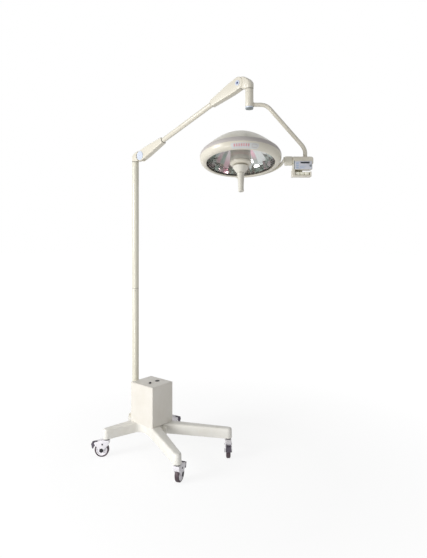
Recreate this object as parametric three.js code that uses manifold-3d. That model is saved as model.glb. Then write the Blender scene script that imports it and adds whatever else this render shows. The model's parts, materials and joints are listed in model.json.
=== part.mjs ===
// Mobile operating light: a whole-reflection lamp head on a spring-balanced arm, carried by
// a pole on a four-legged castor base with an emergency battery box.
// Millimetres, +Z up. The row origin is on the floor under the middle of the whole object.
import * as THREE from "three";
import { mergeVertices } from "three/addons/utils/BufferGeometryUtils.js";
import Module from "manifold-3d";

const wasm = await Module();
wasm.setup();

// ---- driving dimensions -------------------------------------------------------------------

const GAP = 0.3; // clearance between pieces that seat on each other
const RUN = 0.4; // radial clearance of a turning fit

// where the pole stands, measured from the row origin
const POLE_X = -655;

// base
const LEG_UNDER = 126; // height of the caster seats
const BASE_TOP = 196;
const FRONT_STEM = new THREE.Vector2(684, 256); // caster stems, from the pole axis
const REAR_STEM = new THREE.Vector2(40, 298);
const LEG_TIP_R = 27;
const LEG_ROOT_HALF = 40;
const CASTING_WALL = 8;
const HUB_BOSS_R = 56;

// casters
const WHEEL_R = 50;
const WHEEL_WIDTH = 32;
const TRAIL = 33; // wheel axle behind the swivel axis
const STEM_R = 6;
const FORK_WIDTH = 46;

// battery box
const BOX_REAR = 64;
const BOX_LENGTH = 229;
const BOX_WIDTH = 200;
const BOX_TOP = 480;
const SHEET = 3;

// pole
const POLE_R = 25;
const POLE_BORE = 21.5;
const POLE_SPLIT = 1151;
const POLE_TOP = 2099;
const SPINDLE_R = 15;

// spring arm
const ARM_HINGE_X = 75; // hinge axis ahead of the swivel axis, the same at both elbows
const ARM_HINGE_Z = 2137;
const ARM_LENGTH = 965; // hinge to hinge
const ARM_RISE = THREE.MathUtils.degToRad(21.3);
const ARM_WIDTH = 46;
const ARM_END_R = 39; // round big end of each housing
const HOUSING_LENGTH = 240;
const TUBE_R = 18;
const LINK_DROP = 11; // levelling link pivots below the hinge pins
const ELBOW_DROP = { lower: ARM_HINGE_Z - POLE_TOP, upper: 46 };

// yoke
const YOKE_TURN = THREE.MathUtils.degToRad(40);
const HUB_LENGTH = 126;
const YOKE_TUBE_R = 12.5;
const YOKE_EXIT = 98; // tube axis below the hub's top face
const YOKE_REACH = 342;
const BOX_U = 263; // near end of the control box from the hub axis
const BOX_END = 385;

// head
const GIMBAL_DROP = 436; // gimbal axis below the hub's top face
const HEAD_U = -54; // head centre from the hub axis, along the yoke
const HEAD_TILT = THREE.MathUtils.degToRad(14);
const HEAD_R = 250;
const RIM_Z = 11; // widest circle of the head above the gimbal axis
const BAND_TOP = 41;
const DOME_TOP = 164;
const BEZEL_LOW = -28;
const MOUTH_R = 209;
const FACETS = 36; // mirror facets round the reflector
const HEAD_SIDES = 36; // facets of the head's round shells
const BAR_R = 266; // middle of the half-yoke bar

// ---- materials ----------------------------------------------------------------------------

function finish(color, roughness, metalness = 0, opacity = 1) {
  return new THREE.MeshStandardMaterial({ color, roughness, metalness, opacity, transparent: opacity < 1 });
}

const CREAM = finish(0xe6e2d6, 0.35);
const CAST_CREAM = finish(0xe9e6dc, 0.45);
const GREY_BAND = finish(0xb3ada8, 0.45);
const PANEL_BLUE = finish(0xc9d0d6, 0.4);
const HINGE_BLUE = finish(0xcfd8e6, 0.35);
const DARK_CAP = finish(0x54606a, 0.5);
const BLACK = finish(0x1c1c1e, 0.5);
const TYRE = finish(0x3a3338, 0.7);
const DISC_WHITE = finish(0xe2e0dc, 0.4);
const STEEL = finish(0x9fa3a6, 0.3, 0.9);
const MIRROR = finish(0xdfe4e6, 0.06, 1);
const CLEAR = finish(0xf2f6f6, 0.05, 0, 0.3);
const FILTER = finish(0xd8b8a6, 0.15, 0.2, 0.8);
const HANDLE = finish(0xefece2, 0.45);
const BATTERY = finish(0x3c4650, 0.55);
const KEY = finish(0xe9e5c8, 0.5);

// ---- solids and booleans ------------------------------------------------------------------

function toSolid(geometry) {
  const bare = geometry.index ? geometry.toNonIndexed() : geometry.clone();
  bare.deleteAttribute("normal");
  bare.deleteAttribute("uv");
  const merged = mergeVertices(bare, 1e-3);
  return new wasm.Manifold(new wasm.Mesh({
    numProp: 3,
    vertProperties: merged.attributes.position.array,
    triVerts: new Uint32Array(merged.index.array),
  }));
}

function toGeometry(solid) {
  const mesh = solid.getMesh();
  const geometry = new THREE.BufferGeometry();
  geometry.setAttribute("position", new THREE.BufferAttribute(new Float32Array(mesh.vertProperties), 3));
  geometry.setIndex(new THREE.BufferAttribute(new Uint32Array(mesh.triVerts), 1));
  return geometry;
}

function union(...geometries) {
  return toGeometry(geometries.map(toSolid).reduce((whole, piece) => whole.add(piece)));
}

function cut(body, ...tools) {
  return toGeometry(tools.map(toSolid).reduce((whole, tool) => whole.subtract(tool), toSolid(body)));
}

function common(first, second) {
  return toGeometry(toSolid(first).intersect(toSolid(second)));
}

// ---- forms --------------------------------------------------------------------------------

// A solid of revolution about Z from a closed profile of [radius, height] points.
function revolve(profile, segments = 24) {
  const points = profile.map(([r, z]) => new THREE.Vector2(r, z));
  if (THREE.ShapeUtils.area(points) < 0) points.reverse();
  const before = (i) => points[(i + points.length - 1) % points.length];
  const onAxis = points.findIndex((p, i) => p.x === 0 && before(i).x === 0);
  if (onAxis >= 0) {
    const turned = [...points.slice(onAxis), ...points.slice(0, onAxis)];
    return new THREE.LatheGeometry(turned, segments).rotateX(Math.PI / 2);
  }
  return new THREE.LatheGeometry([...points, points[0]], segments).rotateX(Math.PI / 2);
}

function cylinder(radius, bottom, top, segments = 16) {
  return revolve([[0, bottom], [radius, bottom], [radius, top], [0, top]], segments);
}

function ring(outer, inner, bottom, top, segments = 24) {
  return revolve([[inner, bottom], [outer, bottom], [outer, top], [inner, top]], segments);
}

// An upright prism of a plan outline between two heights, with an optional round edge.
function prism(outline, bottom, top, edge = 0, edgeSteps = 2, curveSegments = 4) {
  const geometry = new THREE.ExtrudeGeometry(outline, {
    depth: top - bottom - 2 * edge,
    bevelEnabled: edge > 0,
    bevelThickness: edge,
    bevelSize: edge,
    bevelOffset: -edge,
    bevelSegments: edgeSteps,
    curveSegments,
  });
  return geometry.translate(0, 0, bottom + edge);
}

// The same prism lying across Y: the outline is drawn in X and Z and runs from y0 to y1.
function crossPrism(outline, y0, y1, edge = 0, edgeSteps = 1, curveSegments = 4) {
  const geometry = prism(outline, 0, y1 - y0, edge, edgeSteps, curveSegments);
  return geometry.rotateX(Math.PI / 2).translate(0, y1, 0);
}

// A cylinder across Y.
function crossCylinder(radius, y0, y1, x = 0, z = 0, segments = 16) {
  return cylinder(radius, y0, y1, segments).rotateX(-Math.PI / 2).translate(x, 0, z);
}

function rectangle(x0, y0, x1, y1, corner = 0) {
  const shape = new THREE.Shape();
  if (corner === 0) {
    return shape.moveTo(x0, y0).lineTo(x1, y0).lineTo(x1, y1).lineTo(x0, y1).closePath();
  }
  shape.moveTo(x0 + corner, y0);
  shape.absarc(x1 - corner, y0 + corner, corner, -Math.PI / 2, 0);
  shape.absarc(x1 - corner, y1 - corner, corner, 0, Math.PI / 2);
  shape.absarc(x0 + corner, y1 - corner, corner, Math.PI / 2, Math.PI);
  shape.absarc(x0 + corner, y0 + corner, corner, Math.PI, 1.5 * Math.PI);
  return shape;
}

function block(x0, x1, y0, y1, z0, z1, corner = 0) {
  return prism(rectangle(x0, y0, x1, y1, corner), z0, z1, 0, 0, 1);
}

function circle(radius, x = 0, y = 0) {
  return new THREE.Shape().absarc(x, y, radius, 0, 2 * Math.PI);
}

// A round tube along a curve; a bore of zero leaves it solid.
function tubeAlong(curve, radius, bore, steps, sides = 16) {
  const section = circle(radius);
  if (bore > 0) section.holes.push(new THREE.Path().absarc(0, 0, bore, 0, 2 * Math.PI));
  return new THREE.ExtrudeGeometry(section, {
    steps, extrudePath: curve, curveSegments: sides / 2, bevelEnabled: false,
  });
}

// ---- the scene graph ----------------------------------------------------------------------

function mesh(name, geometry, material) {
  const made = new THREE.Mesh(geometry, material);
  made.name = name;
  return made;
}

function groupAt(x, y, z, ...children) {
  const made = new THREE.Group();
  made.position.set(x, y, z);
  made.add(...children);
  return made;
}

// ---- base casting -------------------------------------------------------------------------

// One leg in plan: its line from the hub to the caster stem, and the two side lines.
function legLines(stem, root, shrink) {
  const along = stem.clone().sub(root).normalize();
  const side = new THREE.Vector2(-along.y, along.x);
  const tipHalf = LEG_TIP_R - shrink;
  const rootHalf = LEG_ROOT_HALF - shrink;
  const at = (centre, half) => centre.clone().addScaledVector(side, half);
  return {
    along,
    side,
    rightRoot: at(root, -rootHalf),
    rightTip: at(stem, -tipHalf),
    leftTip: at(stem, tipHalf),
    leftRoot: at(root, rootHalf),
    tipHalf,
    stem,
  };
}

// The legs counter-clockwise from the front left one, as seen from above.
function legs(shrink) {
  const frontRoot = (y) => new THREE.Vector2(300, y);
  const rearRoot = (y) => new THREE.Vector2(78, y);
  return [
    legLines(FRONT_STEM, frontRoot(70), shrink),
    legLines(REAR_STEM, rearRoot(105), shrink),
    legLines(new THREE.Vector2(REAR_STEM.x, -REAR_STEM.y), rearRoot(-105), shrink),
    legLines(new THREE.Vector2(FRONT_STEM.x, -FRONT_STEM.y), frontRoot(-70), shrink),
  ];
}

// Where two side lines of neighbouring legs meet: the corner that the web curve rounds off.
function meeting(p, q, r, s) {
  const first = q.clone().sub(p);
  const second = s.clone().sub(r);
  const across = first.x * second.y - first.y * second.x;
  const t = ((r.x - p.x) * second.y - (r.y - p.y) * second.x) / across;
  return p.clone().addScaledVector(first, t);
}

function basePlan(shrink) {
  const [front, rear, rearRight, frontRight] = legs(shrink);
  const shape = new THREE.Shape();
  const order = [front, rear, rearRight, frontRight];
  shape.moveTo(front.rightTip.x, front.rightTip.y);
  order.forEach((leg, i) => {
    const next = order[(i + 1) % order.length];
    const heading = Math.atan2(leg.along.y, leg.along.x);
    shape.absarc(leg.stem.x, leg.stem.y, leg.tipHalf, heading - Math.PI / 2, heading + Math.PI / 2);
    shape.lineTo(leg.leftRoot.x, leg.leftRoot.y);
    if (i === 1) {
      // behind the hub the outline swings round the pole's boss
      const boss = HUB_BOSS_R - shrink;
      shape.quadraticCurveTo(leg.leftRoot.x - 4, boss + 2, 0, boss);
      shape.absarc(0, 0, boss, Math.PI / 2, 1.5 * Math.PI);
      shape.quadraticCurveTo(next.rightRoot.x - 4, -boss - 2, next.rightRoot.x, next.rightRoot.y);
    } else {
      const corner = meeting(leg.leftTip, leg.leftRoot, next.rightTip, next.rightRoot);
      shape.quadraticCurveTo(corner.x, corner.y, next.rightRoot.x, next.rightRoot.y);
    }
    if (i < order.length - 1) shape.lineTo(next.rightTip.x, next.rightTip.y);
  });
  return shape;
}

function stems() {
  return legs(0).map((leg) => leg.stem);
}

function baseCasting() {
  const outer = prism(basePlan(0), LEG_UNDER, BASE_TOP, 14, 1, 4);
  const hollow = prism(basePlan(CASTING_WALL), LEG_UNDER - 1, BASE_TOP - CASTING_WALL, 0, 0, 2);
  const bosses = stems().map((stem) => cylinder(20, LEG_UNDER, BASE_TOP - 4, 12).translate(stem.x, stem.y, 0));
  const poleBoss = cylinder(38, LEG_UNDER, BASE_TOP - 4, 20);
  const hubRibs = [
    block(0, 330, -4, 4, LEG_UNDER + 12, BASE_TOP - 4),
    block(60, 68, -110, 110, LEG_UNDER + 12, BASE_TOP - 4),
    block(280, 288, -80, 80, LEG_UNDER + 12, BASE_TOP - 4),
  ];
  const stemHoles = stems().map((stem) => {
    return cylinder(STEM_R + 3 * GAP, LEG_UNDER - 1, LEG_UNDER + 42, 12).translate(stem.x, stem.y, 0);
  });
  const poleHole = cylinder(POLE_R + GAP, LEG_UNDER + 10, BASE_TOP + 1, 24);
  const wireHole = cylinder(9, BASE_TOP - 20, BASE_TOP + 1, 12).translate(BOX_REAR + 60, 0, 0);
  const shell = union(cut(outer, hollow), ...bosses, poleBoss, ...hubRibs);
  return cut(shell, ...stemHoles, poleHole, wireHole);
}

// ---- casters ------------------------------------------------------------------------------

// Local frame: the swivel axis is Z, the floor is z = 0 and the wheel trails towards -X.
const HOOD_TOP = LEG_UNDER - 1;
const AXLE_R = 4;
const WELL_HALF = WHEEL_WIDTH / 2 + 2;
const TYRE_SIDES = 20;
const RIM_R = WHEEL_R - 11; // where the tyre sits on the disc
const PEDAL_PIVOT = new THREE.Vector2(-TRAIL - 42, WHEEL_R + 47);
const PEDAL_PIN_R = 3;

// Side view of the fork's hood: a cheek round the axle, an ear for the pedal, a round crown.
function hoodOutline() {
  const shape = new THREE.Shape();
  shape.moveTo(20, HOOD_TOP);
  shape.quadraticCurveTo(24, WHEEL_R + 36, -2, WHEEL_R + 20);
  shape.lineTo(-TRAIL + 12, WHEEL_R - 6);
  shape.absarc(-TRAIL, WHEEL_R, 13, -0.5, -Math.PI * 0.8, true);
  shape.absarc(PEDAL_PIVOT.x, PEDAL_PIVOT.y, 9, Math.PI * 1.25, Math.PI * 0.6, true);
  shape.quadraticCurveTo(-46, HOOD_TOP - 3, -20, HOOD_TOP);
  shape.closePath();
  return shape;
}

function casterFork() {
  const half = FORK_WIDTH / 2;
  const hood = crossPrism(hoodOutline(), -half, half, 0, 0, 3);
  const crown = cylinder(19, WHEEL_R + 46, HOOD_TOP, 12);
  const stem = cylinder(STEM_R, HOOD_TOP - 4, LEG_UNDER + 38, 10);
  const wheelWell = crossCylinder(WHEEL_R + 4, -WELL_HALF, WELL_HALF, -TRAIL, WHEEL_R, 16);
  const rearMouth = block(-140, -TRAIL, -WELL_HALF, WELL_HALF, -10, WHEEL_R + 30);
  const pedalSlot = block(-140, PEDAL_PIVOT.x + 13, -WELL_HALF, WELL_HALF, 0, HOOD_TOP + 5);
  const pedalPin = crossCylinder(PEDAL_PIN_R, -half + 1, half - 1, PEDAL_PIVOT.x, PEDAL_PIVOT.y, 10);
  const axle = crossCylinder(AXLE_R, -half - 1, half + 1, -TRAIL, WHEEL_R, 12);
  return union(cut(union(hood, crown, stem), wheelWell, rearMouth, pedalSlot), axle, pedalPin);
}

function casterDisc() {
  const half = WHEEL_WIDTH / 2;
  const profile = [
    [AXLE_R + RUN, -half], [14, -half], [18, -half + 5], [RIM_R, -half + 3],
    [RIM_R, half - 3], [18, half - 5], [14, half], [AXLE_R + RUN, half],
  ];
  return revolve(profile, 16).rotateX(Math.PI / 2);
}

// A tread with flat facets; the middle of one of them is on the floor.
function casterTyre() {
  const half = WHEEL_WIDTH / 2;
  const grow = 1 / Math.cos(Math.PI / TYRE_SIDES);
  const tread = WHEEL_R * grow;
  const seat = (RIM_R + GAP) * grow;
  const profile = [
    [seat, -half + 2], [tread - 5, -half + 1], [tread, -half + 7], [tread, half - 7], [tread - 5, half - 1],
    [seat, half - 2],
  ];
  return revolve(profile, TYRE_SIDES).rotateZ(Math.PI / TYRE_SIDES).rotateX(Math.PI / 2);
}

// The brake pedal hangs behind the tread on its pin: a step to press and a shoe below it.
function brakePedal() {
  const shape = new THREE.Shape();
  shape.moveTo(3, -6);
  shape.lineTo(6, 2);
  shape.quadraticCurveTo(2, 7, -6, 6);
  shape.lineTo(-26, 1);
  shape.quadraticCurveTo(-31, -3, -27, -7);
  shape.lineTo(-22, -34);
  shape.lineTo(-16, -34);
  shape.lineTo(-8, -12);
  shape.closePath();
  const half = WELL_HALF - 1;
  const lever = crossPrism(shape, -half, half, 0, 0, 3);
  return cut(lever, crossCylinder(PEDAL_PIN_R + RUN, -20, 20, 0, 0, 10));
}

function caster(name, stem, heading) {
  const wheel = groupAt(-TRAIL, 0, WHEEL_R,
    mesh(`caster_disc_${name}`, casterDisc(), DISC_WHITE),
    mesh(`caster_tyre_${name}`, casterTyre(), TYRE));
  const pedal = groupAt(PEDAL_PIVOT.x, 0, PEDAL_PIVOT.y, mesh(`brake_pedal_${name}`, brakePedal(), BLACK));
  const whole = groupAt(stem.x, stem.y, 0, mesh(`caster_fork_${name}`, casterFork(), DISC_WHITE), wheel, pedal);
  whole.rotation.z = THREE.MathUtils.degToRad(heading) - Math.PI;
  return whole;
}

function casters() {
  const [frontLeft, rearLeft, rearRight, frontRight] = stems();
  return [
    caster("front_left", frontLeft, -50),
    caster("rear_left", rearLeft, 45),
    caster("rear_right", rearRight, 220),
    caster("front_right", frontRight, 110),
  ];
}

// ---- battery box --------------------------------------------------------------------------

const BOX_MID_X = BOX_REAR + BOX_LENGTH / 2;
const SWITCH_AT = new THREE.Vector2(195, 39);
const SWITCH_R = 11;
const FUSE_AT = new THREE.Vector2(198, -35);
const LID_THICK = 4;

function boxPlan(shrink) {
  const half = BOX_WIDTH / 2 - shrink;
  return rectangle(BOX_REAR + shrink, -half, BOX_REAR + BOX_LENGTH - shrink, half, Math.max(5 - shrink, 1));
}

function boxShell() {
  const bottom = BASE_TOP + GAP;
  const top = BOX_TOP - LID_THICK - GAP;
  const outer = prism(boxPlan(0), bottom, top, 0, 0, 2);
  const inside = prism(boxPlan(SHEET), bottom + SHEET, top + 1, 0, 0, 2);
  const inlet = block(BOX_REAR - 1, BOX_REAR + 8, 44, 72, 232, 253);
  const slots = [0, 1, 2, 3, 4].map((i) => {
    return block(BOX_REAR - 1, BOX_REAR + 8, -60, 0, 330 + 16 * i, 336 + 16 * i, 2);
  });
  const wireHole = cylinder(9, bottom - 1, bottom + SHEET + 1, 12).translate(BOX_REAR + 60, 0, 0);
  return cut(outer, inside, inlet, wireHole, ...slots);
}

function boxLid() {
  const plate = prism(boxPlan(0), BOX_TOP - LID_THICK, BOX_TOP, 1, 1, 2);
  const lip = cut(
    prism(boxPlan(SHEET + 1), BOX_TOP - 16, BOX_TOP - LID_THICK + 0.5, 0, 0, 1),
    prism(boxPlan(SHEET + 3), BOX_TOP - 17, BOX_TOP - LID_THICK, 0, 0, 1),
  );
  const atLid = (at, radius, from, to, sides) => cylinder(radius, BOX_TOP + from, BOX_TOP + to, sides)
    .translate(at.x, at.y, 0);
  const bezel = atLid(SWITCH_AT, SWITCH_R + 5, -1, 3, 24);
  const switchHole = atLid(SWITCH_AT, SWITCH_R + 1, -20, 4, 24);
  const fuseHole = atLid(FUSE_AT, 6 + GAP, -20, 4, 12);
  return cut(union(plate, lip, bezel), switchHole, fuseHole);
}

// The rocker turns about a line across the middle of the round switch.
function rockerSwitch() {
  const disc = cylinder(SWITCH_R, -5, 6, 24);
  const outline = new THREE.Shape();
  outline.moveTo(-SWITCH_R, -5);
  outline.lineTo(SWITCH_R, -5);
  outline.lineTo(SWITCH_R, 3.2);
  outline.lineTo(0, 1.2);
  outline.lineTo(-SWITCH_R, 5.2);
  outline.closePath();
  return common(disc, crossPrism(outline, -20, 20));
}

function fuseCap() {
  return revolve([[0, -14], [6, -14], [6, 0.3], [9, 0.3], [9, 5], [7.5, 8], [0, 8]], 16);
}

// A mains inlet socket: a flanged shell with three pins standing in its mouth, facing -X.
function mainsInlet() {
  const body = union(block(-24, 1, -13.5, 13.5, -10, 10), block(0, 3, -24, 24, -14, 14));
  const mouth = cut(body, block(-15, 4, -11, 11, -7, 7));
  const pins = [-7, 0, 7].map((y) => block(-17, -4, y - 1, y + 1, y === 0 ? -1 : -4, y === 0 ? 4 : 1));
  return union(mouth, ...pins).rotateZ(Math.PI);
}

// Two sealed batteries, strapped side by side on one tray.
function batteryPack() {
  const cases = [-43, 43].map((y) => block(-88, 88, y - 40, y + 40, 2, 150, 4));
  const terminal = (x, y) => cylinder(6, 149, 158, 12).translate(x, y, 0);
  const terminals = [-60, 60].flatMap((x) => [-22, 22].map((y) => terminal(x, y)));
  const tray = block(-92, 92, -88, 88, 0, 3);
  const strap = block(54, 66, -22, 22, 156, 159);
  return union(tray, ...cases, ...terminals, strap);
}

function powerSupply() {
  const core = block(-45, 45, -32, 32, 0, 62, 3);
  const winding = block(-28, 28, -44, 44, 10, 52, 6);
  const fins = [0, 1, 2, 3, 4, 5].map((i) => block(-44 + 16 * i, -40 + 16 * i, -30, 30, 61, 74));
  return union(core, winding, ...fins);
}

function batteryBox() {
  const floor = BASE_TOP + SHEET + 2 * GAP;
  const inlet = groupAt(BOX_REAR - GAP, 58, 242.5, mesh("mains_inlet", mainsInlet(), BLACK));
  const rocker = groupAt(SWITCH_AT.x, SWITCH_AT.y, BOX_TOP, mesh("rocker_switch", rockerSwitch(), BLACK));
  const fuse = groupAt(FUSE_AT.x, FUSE_AT.y, BOX_TOP, mesh("fuse_cap", fuseCap(), BLACK));
  const group = new THREE.Group();
  group.add(
    mesh("box_shell", boxShell(), CREAM),
    mesh("box_lid", boxLid(), CREAM),
    groupAt(BOX_MID_X + 14, 0, floor, mesh("battery_pack", batteryPack(), BATTERY)),
    groupAt(BOX_MID_X - 20, 0, floor + 162, mesh("power_supply", powerSupply(), STEEL)),
    inlet, rocker, fuse,
  );
  return group;
}

// ---- pole ---------------------------------------------------------------------------------

function poleSocket() {
  const bottom = BASE_TOP + GAP;
  const profile = [
    [POLE_R + GAP, bottom], [HUB_BOSS_R - 6, bottom], [HUB_BOSS_R - 6, bottom + 8], [38, bottom + 12],
    [33, bottom + 18], [32, bottom + 64], [POLE_R + GAP, bottom + 66],
  ];
  return revolve(profile);
}

function poleLower() {
  return ring(POLE_R, POLE_BORE, LEG_UNDER + 10 + GAP, POLE_SPLIT - GAP);
}

// The upper pole has a spigot that slides into the lower one, and a bearing bore at its top.
function poleUpper() {
  return revolve([
    [POLE_BORE - 4, POLE_SPLIT - 90], [POLE_BORE - GAP, POLE_SPLIT - 90], [POLE_BORE - GAP, POLE_SPLIT],
    [POLE_R, POLE_SPLIT], [POLE_R, POLE_TOP - GAP], [SPINDLE_R + RUN, POLE_TOP - GAP],
    [SPINDLE_R + RUN, POLE_TOP - 75], [POLE_BORE, POLE_TOP - 82], [POLE_BORE, POLE_SPLIT + 20],
    [POLE_BORE - 4, POLE_SPLIT + 12],
  ]);
}

// ---- elbows -------------------------------------------------------------------------------

const ELBOW_HALF = 26;
const ELBOW_TOP = 36;
const KNUCKLE_R = 32;
const KNUCKLE_HALF = 13;
const PIN_R = 5.5;
const LINK_PIN_R = 2.2;

// Side view from the hinge, with the swivel axis towards +X: a quarter round over the spindle.
function elbowSide(drop) {
  const outer = ARM_HINGE_X + ELBOW_HALF;
  const shape = new THREE.Shape();
  shape.moveTo(ARM_HINGE_X - ELBOW_HALF, -drop);
  shape.lineTo(outer, -drop);
  shape.bezierCurveTo(outer, -drop + 46, outer - 38, ELBOW_TOP, 12, ELBOW_TOP);
  shape.lineTo(0, ELBOW_TOP);
  shape.lineTo(0, -ELBOW_TOP);
  shape.lineTo(26, -ELBOW_TOP);
  shape.closePath();
  return shape;
}

function elbowPlan() {
  const shape = new THREE.Shape();
  shape.moveTo(-5, -ARM_WIDTH / 2);
  shape.lineTo(30, -ARM_WIDTH / 2);
  shape.quadraticCurveTo(48, -ELBOW_HALF, ARM_HINGE_X, -ELBOW_HALF);
  shape.absarc(ARM_HINGE_X, 0, ELBOW_HALF, -Math.PI / 2, Math.PI / 2);
  shape.quadraticCurveTo(48, ELBOW_HALF, 30, ARM_WIDTH / 2);
  shape.lineTo(-5, ARM_WIDTH / 2);
  shape.closePath();
  return shape;
}

function elbow(drop) {
  const shell = common(
    crossPrism(elbowSide(drop), -ELBOW_HALF, ELBOW_HALF, 6, 1, 6),
    prism(elbowPlan(), -drop, ELBOW_TOP, 0, 0, 4),
  );
  const body = cut(shell, crossCylinder(ARM_END_R + 2, -40, 40, 0, 0, 24));
  const tongue = union(
    crossCylinder(KNUCKLE_R, -KNUCKLE_HALF, KNUCKLE_HALF, 0, 0, 20),
    block(0, ARM_HINGE_X - 10, -KNUCKLE_HALF, KNUCKLE_HALF, -26, 26),
  );
  const slot = block(-40, 22, -4, 4, -40, 40);
  const linkPin = crossCylinder(LINK_PIN_R, -5, 5, 0, -LINK_DROP, 10);
  const pinHole = crossCylinder(PIN_R + RUN, -40, 40, 0, 0, 14);
  const spindle = cylinder(SPINDLE_R, -drop - 70, -drop + 4, 20).translate(ARM_HINGE_X, 0, 0);
  return union(cut(union(body, tongue), slot, pinHole), linkPin, spindle);
}

// ---- arm ----------------------------------------------------------------------------------

// Local frame: the lower hinge is the origin and the upper one is on +X.
const CAP_R = { lower: 33, upper: 17 };

// A housing runs from its round big end at the hinge to a neck round the tube.
function housingSide(shrink, from) {
  const big = ARM_END_R - shrink;
  const neck = TUBE_R + 3 - shrink;
  const lean = Math.atan2(big - neck, HOUSING_LENGTH);
  const shape = new THREE.Shape();
  shape.moveTo(HOUSING_LENGTH + from, -neck);
  shape.lineTo(HOUSING_LENGTH + from, neck);
  shape.lineTo(60, big + 1 - Math.tan(lean) * 30);
  shape.absarc(0, 0, big, Math.PI / 2 - lean, 1.5 * Math.PI + lean);
  shape.lineTo(60, -big - 1 + Math.tan(lean) * 30);
  shape.closePath();
  return shape;
}

// Plan taper: full width over the hinge, drawn in to the neck.
function housingPlan(shrink) {
  const half = ARM_WIDTH / 2 - shrink;
  const neck = TUBE_R + 3 - shrink;
  const shape = new THREE.Shape();
  shape.moveTo(-60, -half);
  shape.lineTo(90, -half);
  shape.quadraticCurveTo(170, -half, HOUSING_LENGTH + 1, -neck);
  shape.lineTo(HOUSING_LENGTH + 1, neck);
  shape.quadraticCurveTo(170, half, 90, half);
  shape.lineTo(-60, half);
  shape.closePath();
  return shape;
}

function housing() {
  const wall = 4;
  const outer = common(
    crossPrism(housingSide(0, 0), -ARM_WIDTH / 2, ARM_WIDTH / 2, 5, 1, 8),
    prism(housingPlan(0), -60, 60, 0, 0, 4),
  );
  const cavity = crossPrism(housingSide(wall, -40), -KNUCKLE_HALF - 1, KNUCKLE_HALF + 1, 0, 0, 5);
  const mouth = block(-60, 20, -KNUCKLE_HALF - 1, KNUCKLE_HALF + 1, -60, 26);
  const topMouth = block(-60, 0, -KNUCKLE_HALF - 1, KNUCKLE_HALF + 1, 0, 60);
  const tubeSeat = cylinder(TUBE_R + GAP, HOUSING_LENGTH - 70, HOUSING_LENGTH + 5, 20).rotateY(Math.PI / 2);
  const pinHole = crossCylinder(PIN_R + GAP, -40, 40, 0, 0, 14);
  return cut(outer, cavity, mouth, topMouth, tubeSeat, pinHole);
}

function armTube() {
  const start = HOUSING_LENGTH - 66;
  return ring(TUBE_R, TUBE_R - 2, start, ARM_LENGTH - start, 20).rotateY(Math.PI / 2);
}

// The hinge pin carries a cover cap on each side of the housing.
function hingePin(capR) {
  const half = ARM_WIDTH / 2;
  return revolve([
    [0, -half - 3], [capR - 2, -half - 3], [capR, -half - 1.5], [capR, -half - GAP], [PIN_R, -half - GAP],
    [PIN_R, half + GAP], [capR, half + GAP], [capR, half + 1.5], [capR - 2, half + 3], [0, half + 3],
  ], 18).rotateX(Math.PI / 2);
}

class Coil extends THREE.Curve {
  constructor(radius, length, turns) {
    super();
    Object.assign(this, { radius, length, turns });
  }
  getPoint(t, target = new THREE.Vector3()) {
    const angle = 2 * Math.PI * this.turns * t;
    return target.set(this.length * t, this.radius * Math.cos(angle), this.radius * Math.sin(angle));
  }
}

const SPRING_R = 6.4;
const SPRING_WIRE = 1.6;
const SPRING_LIFT = 7; // spring axis above the arm axis
const SPRING_START = 330;
const SPRING_LENGTH = 260;
const SPRING_TURNS = 9;

function balanceSpring() {
  const coil = new Coil(SPRING_R, SPRING_LENGTH, SPRING_TURNS);
  return tubeAlong(coil, SPRING_WIRE, 0, SPRING_TURNS * 8, 4).translate(SPRING_START, 0, SPRING_LIFT);
}

// The pull rod runs through the spring and ends in a washer at each end of it.
function springRod() {
  const rod = cylinder(3, 60, SPRING_START + SPRING_LENGTH + 14, 8);
  const plates = [SPRING_START - 8, SPRING_START + SPRING_LENGTH + 4].map((z) => cylinder(7.5, z, z + 4, 12));
  return union(rod, ...plates).rotateY(Math.PI / 2).translate(0, 0, SPRING_LIFT);
}

// Parallel to the arm, it keeps the upper elbow upright; an eye at each end runs on its pin.
function levellingLink() {
  const rod = cylinder(2, 2.9, ARM_LENGTH - 2.9, 8).rotateY(Math.PI / 2);
  const eyes = [0, ARM_LENGTH].map((x) => crossCylinder(3.6, -3, 3, x, 0, 12));
  const bores = [0, ARM_LENGTH].map((x) => crossCylinder(LINK_PIN_R + 0.25, -4, 4, x, 0, 12));
  return cut(union(rod, ...eyes), ...bores);
}

function springArm() {
  const arm = new THREE.Group();
  const upper = groupAt(ARM_LENGTH, 0, 0, mesh("upper_housing", housing(), CREAM));
  upper.rotation.y = Math.PI;
  arm.add(
    mesh("lower_housing", housing(), CREAM),
    upper,
    mesh("arm_tube", armTube(), CREAM),
    mesh("lower_hinge_pin", hingePin(CAP_R.lower), HINGE_BLUE),
    groupAt(ARM_LENGTH, 0, 0, mesh("upper_hinge_pin", hingePin(CAP_R.upper), HINGE_BLUE)),
    mesh("balance_spring", balanceSpring(), STEEL),
    mesh("spring_rod", springRod(), STEEL),
  );
  arm.rotation.y = -ARM_RISE;
  const link = groupAt(0, 0, -LINK_DROP, mesh("levelling_link", levellingLink(), STEEL));
  link.rotation.y = -ARM_RISE;
  const lowerElbow = mesh("lower_elbow", elbow(ELBOW_DROP.lower), CREAM);
  lowerElbow.rotation.z = Math.PI;
  return groupAt(ARM_HINGE_X, 0, ARM_HINGE_Z, lowerElbow, arm, link);
}

// ---- yoke ---------------------------------------------------------------------------------

// Local frame: the hub's axis is Z with its top face at z = 0, and the yoke reaches along +X.
function yokeHub() {
  const wall = [
    [SPINDLE_R + RUN, -75], [SPINDLE_R + RUN, -GAP], [POLE_R, -GAP], [POLE_R, -HUB_LENGTH + 16],
    [POLE_R - 3, -HUB_LENGTH + 16], [POLE_R - 3, -75],
  ];
  return revolve(wall);
}

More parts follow.
